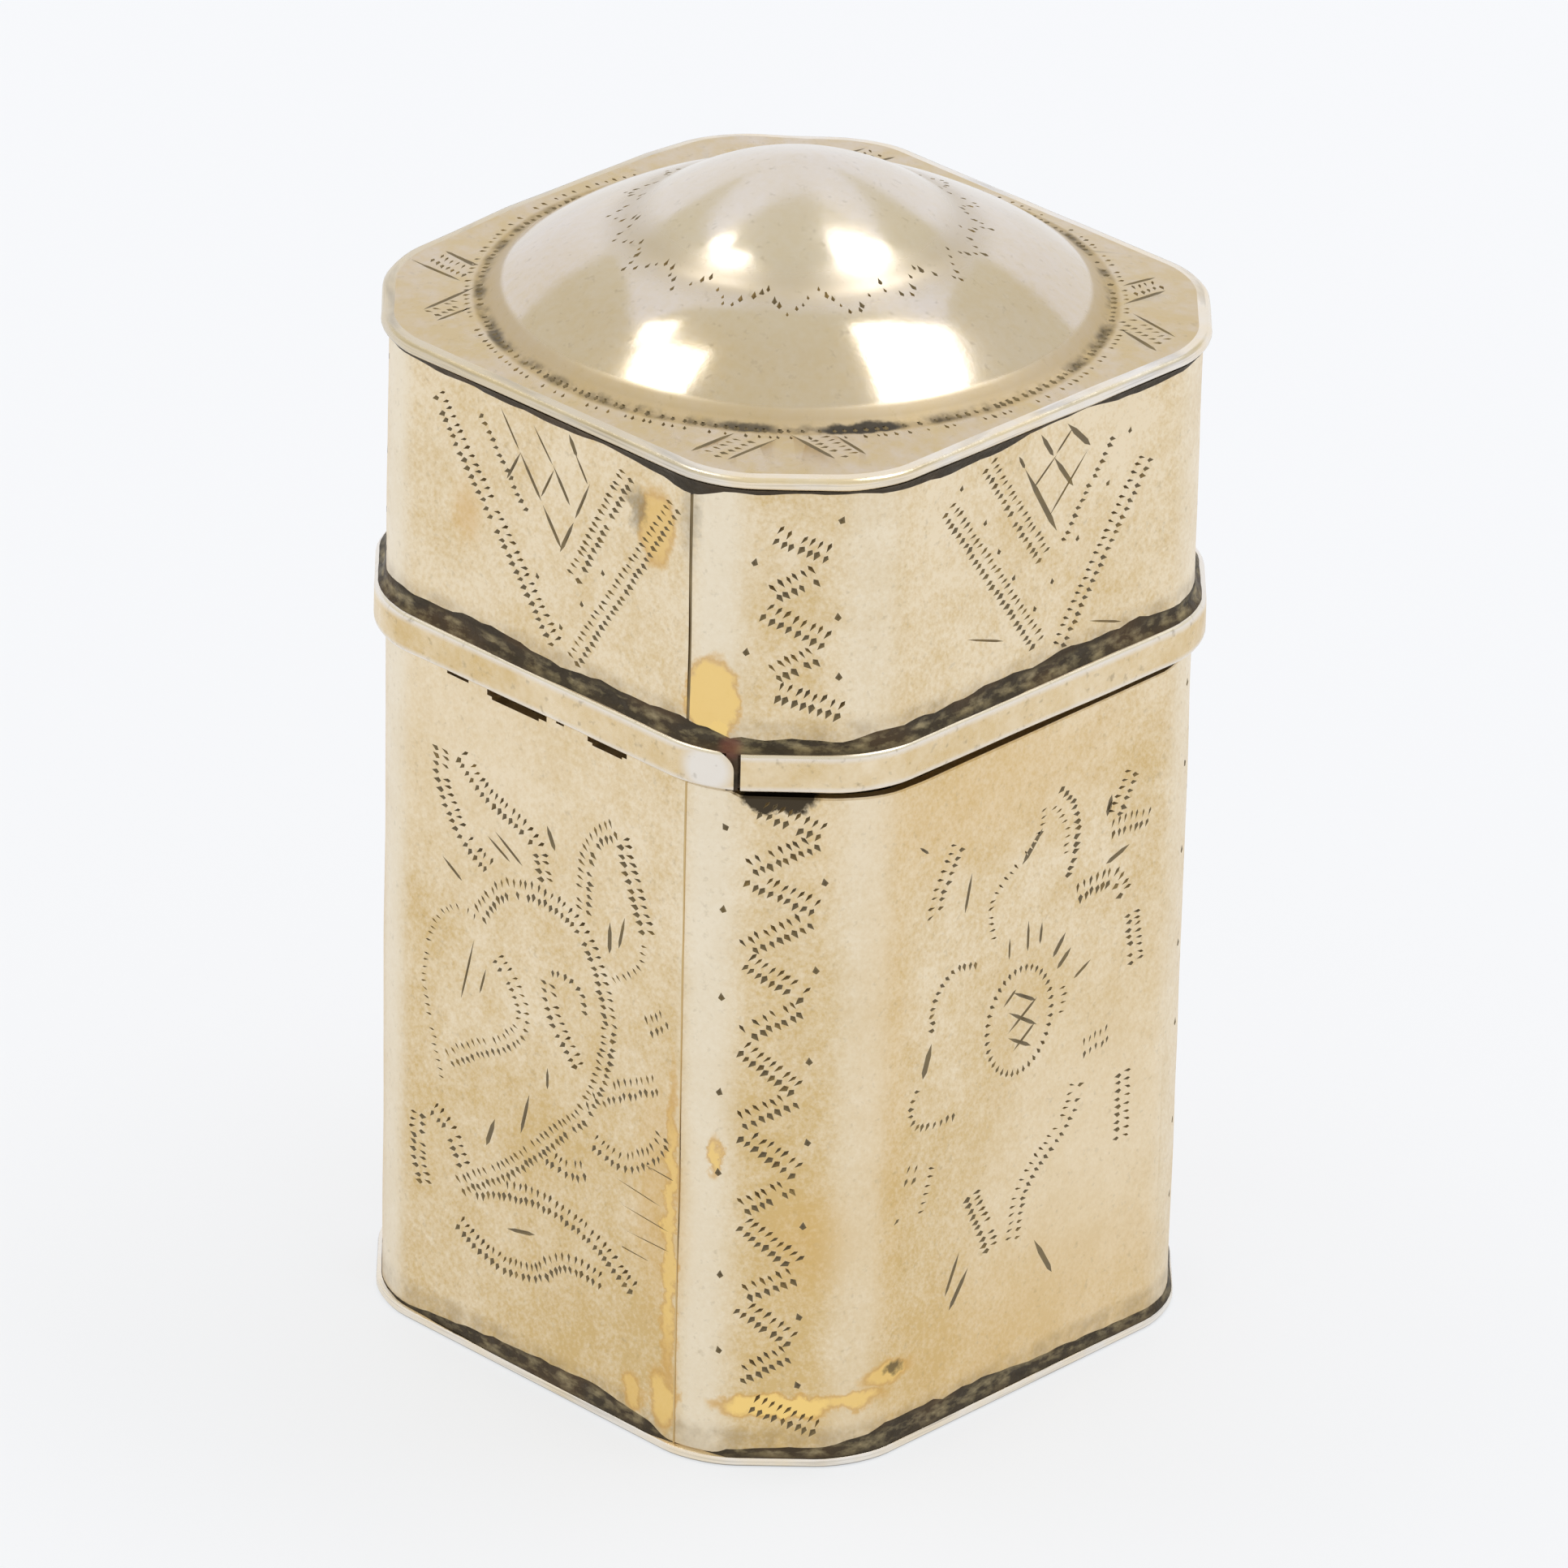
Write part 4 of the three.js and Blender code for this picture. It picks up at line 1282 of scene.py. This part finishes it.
# Handles of the dome's bulge and of its crown, in mm out and up from the two ends of each, and their parts.
BULGE_HANDLES = ((-0.45, 0.75), (1.9, -0.3))
CROWN_HANDLES = ((-0.8, 1.25), (1.5, 0.0))
BULGE_PARTS, CROWN_PARTS = 18, 22
CREASE_SOFTENING = 4
# Two rings of nicks round the dome's foot, in mm: radius, width, length and the share that is missing.
FOOT_RINGS = ((14.2, 0.27, 0.46, 0.06), (14.8, 0.17, 0.34, 0.2))
FOOT_PITCH = 0.48
FOOT_DEEP = 0.08
# The zigzag in the crease, in mm: its teeth, the radii of its turns and how far they swing, then the pitch,
# the size and the stray of its nicks, and the share of faint ones at the front and elsewhere.
CREASE_TEETH = 19
CREASE_RADII = (7.3, 8.7)
CREASE_SWING = 0.25
CREASE_PITCH = 0.45
CREASE_NICK = (0.2, 0.4, 0.07)
CREASE_STRAY = 0.08
FAINT_IN_FRONT, FAINT_ELSEWHERE = 0.7, 0.3


def curve_points(start, end, handles, count):
    """Points along one cubic curve, both ends included."""
    first, second = [point + Vector(pull) * MM for point, pull in zip((start, end), handles)]
    points = []
    for part in range(count + 1):
        t = part / count
        points.append((1 - t) ** 3 * start + 3 * t * (1 - t) ** 2 * first
                      + 3 * t * t * (1 - t) * second + t ** 3 * end)
    return points


def dome_profile():
    """The dome's section, out from the axis and up, from foot to apex: a bulge, a soft crease and a crown."""
    box = sizes()
    border = TOP_LOW.z + box.top_sheet
    foot = Vector((box.dome_radius, border))
    step = Vector((box.dome_step_radius, border + box.dome_step_rise))
    apex = Vector((0, TOP_HIGH.z))
    points = curve_points(foot, step, BULGE_HANDLES, BULGE_PARTS)
    points += curve_points(step, apex, CROWN_HANDLES, CROWN_PARTS)[1:]
    for _ in range(CREASE_SOFTENING):
        points[1:-1] = [(a + 2 * b + c) / 4 for a, b, c in zip(points, points[1:], points[2:])]
    keep = 1 - box.border_rise / (apex.y - border)
    return [Vector((point.x, apex.y - (apex.y - point.y) * keep)) for point in points]


def dome_rings():
    """Radius and height of the dome's rings: the outer ones from foot to apex, and the inner ones back."""
    box = sizes()
    profile = dome_profile()
    under = []
    for before, point, after in zip(profile, profile[1:], profile[2:]):
        way = (after - before).normalized()
        under.append(point - Vector((way.y, -way.x)) * box.dome_sheet)
    foot = Vector((box.dome_radius + 0.15 * MM, TOP_LOW.z + box.top_sheet + box.border_rise))
    inner = [point for point in under[::-1] if point.x > 0.1 * MM]
    return [foot, *profile[1:-1]], [*inner, Vector((box.dome_radius - 0.4 * MM, TOP_LOW.z))]


def lip_section():
    """The lip's bead from below and the start of the border: how far out from the plan, and the height."""
    box = sizes()
    grow = TOP_HIGH.x - box.width / 2
    bead = box.top_sheet / 2
    section = [(grow - bead * (1 - math.cos(a)), TOP_LOW.z + bead * (1 + math.sin(a)))
               for a in (math.radians(angle) for angle in range(-90, 91, 30))]
    return [*section, (grow - bead - 0.3 * MM, TOP_LOW.z + box.top_sheet + 0.03 * MM)]


def top_seat(piece):
    """Turns a place seen from above into a point and directions on the lid's top."""

    def seat(place):
        above = Vector((place.x, place.y, TOP_HIGH.z + 10 * MM))
        found, point, out, _ = piece.ray_cast(above, Vector((0, 0, -1)))
        if not found:
            raise RuntimeError("no lid top under an engraved cut")
        right = Vector((0, 1, 0)).cross(out).normalized()
        return point, right, out.cross(right), out

    return seat


def engrave_foot(graver):
    """Two rings of nicks round the dome's foot, the outer one thin and mostly faint."""
    chance = graver.chance
    for radius, wide, long, missing in FOOT_RINGS:
        count = round(2 * math.pi * radius / FOOT_PITCH)
        for part in range(count):
            angle = 2 * math.pi * part / count + chance.gauss(0, 0.006)
            out = Vector((math.cos(angle), math.sin(angle)))
            big = chance.uniform(0.7, 1.15)
            if chance.random() > missing:
                slant = out + 0.3 * Vector((-out.y, out.x))
                faint = wide < 0.2 and part % 3 > 0
                size = [value * MM * big for value in (wide, long, FOOT_DEEP)]
                graver.nick(out * radius * MM, slant, *size, faint)


def engrave_crease(graver):
    """A zigzag of nicks in the dome's crease, fainter at the front."""
    chance = graver.chance
    for part in range(2 * CREASE_TEETH):
        swing = chance.uniform(-CREASE_SWING, CREASE_SWING)
        points = []
        for end in (part, part + 1):
            angle = math.pi * end / CREASE_TEETH
            points.append(Vector((math.cos(angle), math.sin(angle))) * (CREASE_RADII[end % 2] + swing) * MM)
        for place, way in flowing(points, CREASE_PITCH * MM):
            big = chance.uniform(0.6, 1.25)
            stray = Vector((chance.gauss(0, CREASE_STRAY), chance.gauss(0, CREASE_STRAY))) * MM
            share = FAINT_IN_FRONT if place.x - place.y > 9 * MM else FAINT_ELSEWHERE
            size = [value * MM * big for value in CREASE_NICK]
            graver.nick(place + stray, place.normalized() + way * 0.2, *size, chance.random() < share)


def engrave_top(piece):
    """Nicks round the dome's foot and in its crease, and paired lines at the four corners of the border."""
    graver = Graver(piece, 37, top_seat(piece))
    engrave_foot(graver)
    engrave_crease(graver)
    for turn in FACE_TURNS:
        spin = Matrix.Rotation(turn, 2)
        for start, end, wide in CORNER_LINES:
            graver.line(spin @ Vector(start), spin @ Vector(end), wide, deep=0.06)
        for row in CORNER_ROWS:
            graver.rocked([spin @ Vector(point) for point in row], 0.8, 2, 0.5)
    graver.engrave()


class SCENTBOX_OT_lid_top(bpy.types.Operator):
    """Raise the stepped dome out of the lid's top and engrave round it"""

    bl_idname = "scentbox.lid_top"
    bl_label = "Lid top"

    def execute(self, context):
        lip = lip_section()
        outer, inner = dome_rings()
        piece = begin("lid_top_sheet")
        for number, (grow, height) in enumerate(lip, 1):
            plan_ring(piece, number, grow, height)
        count = sum(1 for vert in bmesh.from_edit_mesh(piece.data).verts if vert.select)
        for number, (radius, height) in enumerate(outer + inner, len(lip) + 1):
            round_ring(radius, height, count)
            tag_selected(piece, number)
        apex = len(lip) + len(outer)
        last = apex + len(inner)
        for number in range(1, last + 1):
            if number != apex:
                select_tagged(piece, number, number % last + 1)
                bpy.ops.mesh.bridge_edge_loops()
        for tag in (apex, apex + 1):
            select_tagged(piece, tag)
            bpy.ops.mesh.edge_face_add()
            bpy.ops.mesh.poke()
        face_outwards()
        bpy.ops.object.mode_set(mode="OBJECT")
        bow_edge(piece)
        dent(piece, 0.4 * sizes().dent_depth, 5 * MM)
        dress(piece, "lid", "tarnished_silver", "lid_top",
              "raised_silver_dome", *CUT_FILMS, "rubbed_silver_edge")
        tags = piece.data.attributes["ring"].data
        for face in piece.data.polygons:
            if max(tags[corner].value for corner in face.vertices) <= len(lip):
                face.material_index = 3
        engrave_top(piece)
        smooth(piece)
        return {"FINISHED"}


def joint_block(left, right, proud, low, high):
    """A block at the rim band's joint, between two places beside its middle, proud of the front cant."""
    middle = sizes().joint_place
    away = cant_away()
    return block((middle + left, -away - proud, low), (middle + right, 0.1 * MM - away, high), CANT_TURNS[0])


class SCENTBOX_OT_rim_band(bpy.types.Operator):
    """Bend the rim band round the lid's lower edge, with its butt joint on the front cant"""

    bl_idname = "scentbox.rim_band"
    bl_label = "Rim band"

    def execute(self, context):
        low, high = BAND_LOW.z, BAND_HIGH.z
        grow = BAND_HIGH.x - sizes().width / 2
        inner = 0.02 * MM
        round_off = 0.26 * MM
        corner = 0.9 * MM
        proud = 2 * MM
        arc = [(grow - round_off * (1 - math.sin(a)), round_off * (1 - math.cos(a)))
               for a in (math.radians(angle) for angle in (0, 25, 45, 65, 90))]
        band = loft("rim_band_strip", [
            *[(place, low + rise) for place, rise in arc], (grow, (low + high) / 2),
            *[(place, high - rise) for place, rise in arc[::-1]], (inner, high), (inner, low)])
        dent(band, 0.09 * MM, 7 * MM)
        half = sizes().band_joint / 2
        cut(band, joint_block(-half, half, proud, low - MM, high + MM))
        rounding = joint_block(-half - corner, -half + 0.05 * MM, proud, high - corner, high + MM)
        deselect()
        bpy.ops.mesh.primitive_cylinder_add(
            vertices=48, radius=corner, depth=3 * proud, rotation=(math.pi / 2, 0, CANT_TURNS[0]),
            location=joint_point(high - corner, -half - corner))
        bpy.ops.object.transform_apply(location=True, rotation=True)
        cut(rounding, bpy.context.object)
        cut(band, rounding)
        smooth(band)
        dress(band, "lid", "bright_silver", "rim_band", "rim_band_silver")
        return {"FINISHED"}


# Sections of the solder runs, in mm out from the wall and up from where each rests.
BASE_SECTION = (
    (-0.2, 0), (0.2, 0), (0.17, 0.1), (0.1, 0.3), (0.06, 0.55), (0.03, 0.8), (-0.04, 0.95), (-0.2, 1.0),
)
BAND_SECTION = (
    (-0.2, -0.1), (0.4, -0.1), (0.34, 0.05), (0.2, 0.2), (0.11, 0.4), (0.06, 0.65), (0.03, 0.85),
    (-0.04, 1.0), (-0.2, 1.05),
)
LIP_SECTION = (
    (-0.2, 0), (0.2, 0), (0.12, -0.1), (0.05, -0.22), (0.02, -0.34), (-0.04, -0.42), (-0.2, -0.45),
)
# How tall each run of solder is beside its full section: along the front corner in mm, and the share.
BASE_RUN = (
    (-18, 0.35), (-15, 0.5), (-12, 0.85), (-8.5, 0.95), (-6.6, 0.7), (-5, 0.35), (-3.8, 0.15), (-2.4, 0.45),
    (0, 0.5), (2.4, 0.55), (3.8, 1.1), (6, 1.3), (9, 1.0), (13, 0.7), (18, 0.5),
)
BAND_RUN = (
    (-18, 0.85), (-5, 0.95), (-3.6, 0.75), (-2.8, 0.5), (-2.2, 0.7), (-1.2, 0.6), (2.4, 0.55), (4, 0.85),
    (8, 1.0), (18, 0.85),
)
LIP_RUN = (
    (-18, 0.7), (-13, 1.2), (-8, 0.8), (-5.5, 1.5), (-4.5, 2.0), (-3.2, 0.9), (0, 0.7), (3, 0.6), (5, 1.3),
    (9, 1.4), (11, 0.7), (13, 0.6), (15, 1.5), (18, 0.8),
)
# Lumps of solder in the band's joint, in mm: from, to, and proud of the cant.
JOINT_LUMPS = ((-0.95, -0.5, 0.08), (-0.5, 0.03, 0.3), (0.03, 0.14, 0.05))
# How ragged a run's edge is, at two sizes, and the share under which a run also draws back to the wall.
RAGGED = 0.3
RAGGED_SIZES = (5 * MM, 1.3 * MM)
THIN_RUN = 0.5
DRAWN_BACK = 0.06


def fillet(name, body, rest, section, run, node):
    """A run of solder: its section from a resting height up or down the wall, as tall as its run says."""
    piece = loft(name, [(grow * MM, rest + rise * MM) for grow, rise in section])
    for vert in piece.data.vertices:
        tall = read_off(run, corner_mm(vert.co))
        ragged = 1 + RAGGED * sum(noise.noise(vert.co / size) for size in RAGGED_SIZES)
        vert.co.z = rest + (vert.co.z - rest) * tall * ragged
        if tall < THIN_RUN:
            vert.co.xy *= 1 - DRAWN_BACK * (THIN_RUN - tall)
    bow_edge(piece)
    dent(piece, sizes().dent_depth, DENT_SIZE)
    dent(piece, 0.07 * MM, 1.1 * MM)
    smooth(piece, degrees=60)
    dress(piece, body, "dark_solder", node, "blackened_solder")
    return piece


class SCENTBOX_OT_solder(bpy.types.Operator):
    """Lay the dark solder above the base, above the rim band and in its joint, and under the lid's lip"""

    bl_idname = "scentbox.solder"
    bl_label = "Dark solder"

    def execute(self, context):
        black = bpy.data.materials["blackened_solder"]
        fillet("base_fillet", "case", BASE_HIGH.z, BASE_SECTION, BASE_RUN, "base_solder")
        band = fillet("band_fillet", "lid", BAND_HIGH.z, BAND_SECTION, BAND_RUN, "rim_band_solder")
        low, high = BAND_LOW.z + 0.02 * MM, BAND_HIGH.z
        lumps = [joint_block(left * MM, right * MM, proud * MM, low, high)
                 for left, right, proud in JOINT_LUMPS]
        pick(band)
        for lump in lumps:
            lump.data.materials.append(black)
            lump.select_set(True)
        bpy.ops.object.join()
        fillet("lip_fillet", "lid", TOP_LOW.z, LIP_SECTION, LIP_RUN, "lid_top_solder")
        hidden = frame["nodes"]["collar_solder"].data.materials
        hidden.clear()
        hidden.append(black)
        return {"FINISHED"}


class SCENTBOX_OT_collar(bpy.types.Operator):
    """Make the gilt collar that the lid slips over"""

    bl_idname = "scentbox.collar"
    bl_label = "Inner collar"

    def execute(self, context):
        outer = COLLAR_HIGH.x - sizes().width / 2
        inner = outer - sizes().collar_sheet
        high = COLLAR_HIGH.z
        edge = 0.16 * MM
        levels = steps(COLLAR_LOW.z, high - edge, MM)
        collar = loft("collar_sheet", [
            *[(outer, height) for height in levels], (outer - 0.3 * edge, high - 0.3 * edge),
            (outer - edge, high), (inner + edge, high), (inner + 0.3 * edge, high - 0.3 * edge),
            *[(inner, height) for height in levels[::-1]]])
        dent(collar, 0.06 * MM, 8 * MM)
        smooth(collar)
        dress(collar, "case", "collar_silver", "inner_collar", "gilt_silver_inside")
        return {"FINISHED"}


# The sponge's cells, and how high and how wide its upper face is crowned.
SPONGE_CELL = 0.36 * MM
SPONGE_RISE = 0.7 * MM
SPONGE_REACH = 14 * MM
SPONGE_CAP = 3 * MM


def crown_sponge(sponge, high):
    """Lets the sponge's upper face rise towards its middle."""
    for vert in sponge.data.vertices:
        if vert.co.z > high - SPONGE_CAP:
            reach = min(1.0, vert.co.xy.length / SPONGE_REACH)
            vert.co.z += SPONGE_RISE * math.cos(reach * math.pi / 2)


class SCENTBOX_OT_sponge(bpy.types.Operator):
    """Fill the case with a dry natural sponge, crowned and porous"""

    bl_idname = "scentbox.sponge"
    bl_label = "Sponge"

    def execute(self, context):
        inset = SPONGE_HIGH.x - sizes().width / 2
        low, high = SPONGE_LOW.z, SPONGE_HIGH.z
        height = high - low
        section = [(inset - 2.2 * MM, low + 0.5 * MM), (inset - 0.9 * MM, low + 1.2 * MM),
                   (inset - 0.6 * MM, low + 0.3 * height), (inset - 0.6 * MM, low + 0.7 * height),
                   (inset - 1.2 * MM, high - 3.0 * MM), (inset - 3.0 * MM, high - 1.4 * MM)]
        sponge = loft("scent_sponge_body", section, closed=False)
        close_ends(sponge, len(section))
        cells = sponge.modifiers.new("cells", "REMESH")
        cells.mode = "VOXEL"
        cells.voxel_size = SPONGE_CELL
        apply_modifier(sponge, cells)
        soft = sponge.modifiers.new("soft", "SMOOTH")
        soft.iterations = 12
        apply_modifier(sponge, soft)
        crown_sponge(sponge, high)
        dent(sponge, 1.2 * MM, 6 * MM)
        dent(sponge, 1.3 * MM, 2.1 * MM, kind="VORONOI", level=0.75)
        smooth(sponge, degrees=80)
        dress(sponge, "case", "sponge", "scent_sponge", "natural_sponge")
        return {"FINISHED"}


# Stage: where the camera stands, and what the silver mirrors. Places are metres to the camera's right and
# away from the camera past the box.

CAMERA_TURN = math.radians(44.25)
CAMERA_RISE = math.radians(26.82)
CAMERA_ROLL = math.radians(-1.315)
CAMERA_AWAY = 583 * MM
CAMERA_LENS = 292.64
AIM = Vector((0, 0, 26 * MM))
AIM_RIGHT = -0.079 * MM
AIM_UP = -0.535 * MM
FLOOR_SIZE = 4
# Ceiling cards between two corners.
CEILING_HEIGHT = 0.75
CEILING_CARDS = (
    ("studio_ceiling", (-1.7, -1.6), (1.5, 0.34)), ("left_ceiling", (-1.7, 0.34), (-0.42, 1.15)),
    ("right_ceiling", (0.37, 0.34), (1.5, 1.15)),
)
# Soft lamps, which face down: the middle, width, depth and turn of each.
LAMP_HEIGHT = 0.7
LAMP_RADIANCE = 3
LAMPS = (
    ("right_softbox", (0.3, 0.1), 0.27, 0.34, 22), ("left_softbox", (-0.32, 0.08), 0.195, 0.18, -30),
    ("left_back_softbox", (-0.313, 0.245), 0.115, 0.075, -30),
)


def stand_camera():
    """Camera at the photograph's angle, with no shift and no depth of field."""
    right = Vector((math.cos(CAMERA_TURN), math.sin(CAMERA_TURN), 0))
    level = math.cos(CAMERA_RISE)
    back = Vector((math.sin(CAMERA_TURN) * level, -math.cos(CAMERA_TURN) * level, math.sin(CAMERA_RISE)))
    up = back.cross(right)
    across = right * math.cos(CAMERA_ROLL) - up * math.sin(CAMERA_ROLL)
    upright = right * math.sin(CAMERA_ROLL) + up * math.cos(CAMERA_ROLL)
    data = bpy.data.cameras.new("photograph_camera")
    data.lens = CAMERA_LENS
    data.sensor_width = 36
    data.clip_end = 20
    camera = bpy.data.objects.new("photograph_camera", data)
    turn = Matrix((across, upright, back)).transposed().to_4x4()
    place = AIM + across * AIM_RIGHT + upright * AIM_UP + back * CAMERA_AWAY
    camera.matrix_world = Matrix.Translation(place) @ turn
    bpy.context.scene.collection.objects.link(camera)
    bpy.context.scene.camera = camera


def studio_place(right, away, height):
    """A point of the studio, by its place and its height."""
    return Matrix.Rotation(CAMERA_TURN, 3, "Z") @ Vector((right, away, height))


def softbox(name, middle, width, depth, turn):
    """A soft lamp, turned about its upright axis."""
    data = bpy.data.lights.new(name, "AREA")
    data.shape = "RECTANGLE"
    data.size = width
    data.size_y = depth
    data.energy = LAMP_RADIANCE * math.pi * width * depth
    lamp = bpy.data.objects.new(name, data)
    lamp.location = studio_place(*middle, LAMP_HEIGHT)
    lamp.rotation_euler = (0, 0, CAMERA_TURN + math.radians(turn))
    bpy.context.scene.collection.objects.link(lamp)


def card(name, low, high):
    """A flat card of the ceiling between two corners, which the camera doesn't see."""
    deselect()
    middle = [(a + b) / 2 for a, b in zip(low, high)]
    bpy.ops.mesh.primitive_plane_add(
        size=1, location=studio_place(*middle, CEILING_HEIGHT), rotation=(0, 0, CAMERA_TURN))
    made = bpy.context.object
    made.scale = (high[0] - low[0], high[1] - low[1], 1)
    bpy.ops.object.transform_apply(location=True, rotation=True, scale=True)
    made.name = name
    made.data.materials.append(bpy.data.materials["yellowish_studio_ceiling"])
    made.visible_camera = False
    made.visible_shadow = False


class SCENTBOX_OT_stage(bpy.types.Operator):
    """Set up the white floor, the soft light and the camera"""

    bl_idname = "scentbox.stage"
    bl_label = "Stage"

    def execute(self, context):
        white_floor()
        studio_ceiling()
        stand_camera()
        deselect()
        bpy.ops.mesh.primitive_plane_add(size=FLOOR_SIZE)
        floor = bpy.context.object
        floor.name = "white_floor"
        floor.data.materials.append(bpy.data.materials["white_paper_floor"])
        for row in CEILING_CARDS:
            card(*row)
        for row in LAMPS:
            softbox(*row)
        world = bpy.data.worlds.new("white_studio")
        world.use_nodes = True
        world.node_tree.nodes.clear()
        sky = add(world.node_tree, "ShaderNodeBackground", {"Color": rgba("F8F9FD"), "Strength": 1.0})
        add(world.node_tree, "ShaderNodeOutputWorld", {"Surface": sky})
        context.scene.world = world
        context.scene.view_settings.view_transform = "Standard"
        return {"FINISHED"}


class SCENTBOX_PT_sidebar(bpy.types.Panel):
    """Lists the steps that build the box"""

    bl_idname = "SCENTBOX_PT_sidebar"
    bl_label = "Scent Box"
    bl_space_type = "VIEW_3D"
    bl_region_type = "UI"
    bl_category = "Scent Box"

    def draw(self, context):
        for step in STEPS:
            self.layout.operator(step.bl_idname)
        for group in (sizes(), finish()):
            column = self.layout.column()
            for name in group.__annotations__:
                column.prop(group, name)


STEPS = (
    SCENTBOX_OT_finishes, SCENTBOX_OT_walls, SCENTBOX_OT_seams, SCENTBOX_OT_base, SCENTBOX_OT_lid_top,
    SCENTBOX_OT_rim_band, SCENTBOX_OT_solder, SCENTBOX_OT_collar, SCENTBOX_OT_sponge, SCENTBOX_OT_stage,
)
CLASSES = (ScentBoxSizes, ScentBoxFinish, *STEPS, SCENTBOX_PT_sidebar)


def register():
    """Adds the classes and the two groups of values to Blender."""
    for item in CLASSES:
        bpy.utils.register_class(item)
    bpy.types.Scene.scent_box_sizes = bpy.props.PointerProperty(type=ScentBoxSizes)
    bpy.types.Scene.scent_box_finish = bpy.props.PointerProperty(type=ScentBoxFinish)


def unregister():
    """Takes the classes and the two groups of values out of Blender."""
    del bpy.types.Scene.scent_box_finish
    del bpy.types.Scene.scent_box_sizes
    for item in reversed(CLASSES):
        bpy.utils.unregister_class(item)


def main():
    register()
    bpy.ops.scentbox.finishes()
    bpy.ops.scentbox.walls()
    bpy.ops.scentbox.seams()
    bpy.ops.scentbox.base()
    bpy.ops.scentbox.lid_top()
    bpy.ops.scentbox.rim_band()
    bpy.ops.scentbox.solder()
    bpy.ops.scentbox.collar()
    bpy.ops.scentbox.sponge()
    bpy.ops.scentbox.stage()


if __name__ == "__main__":
    main()
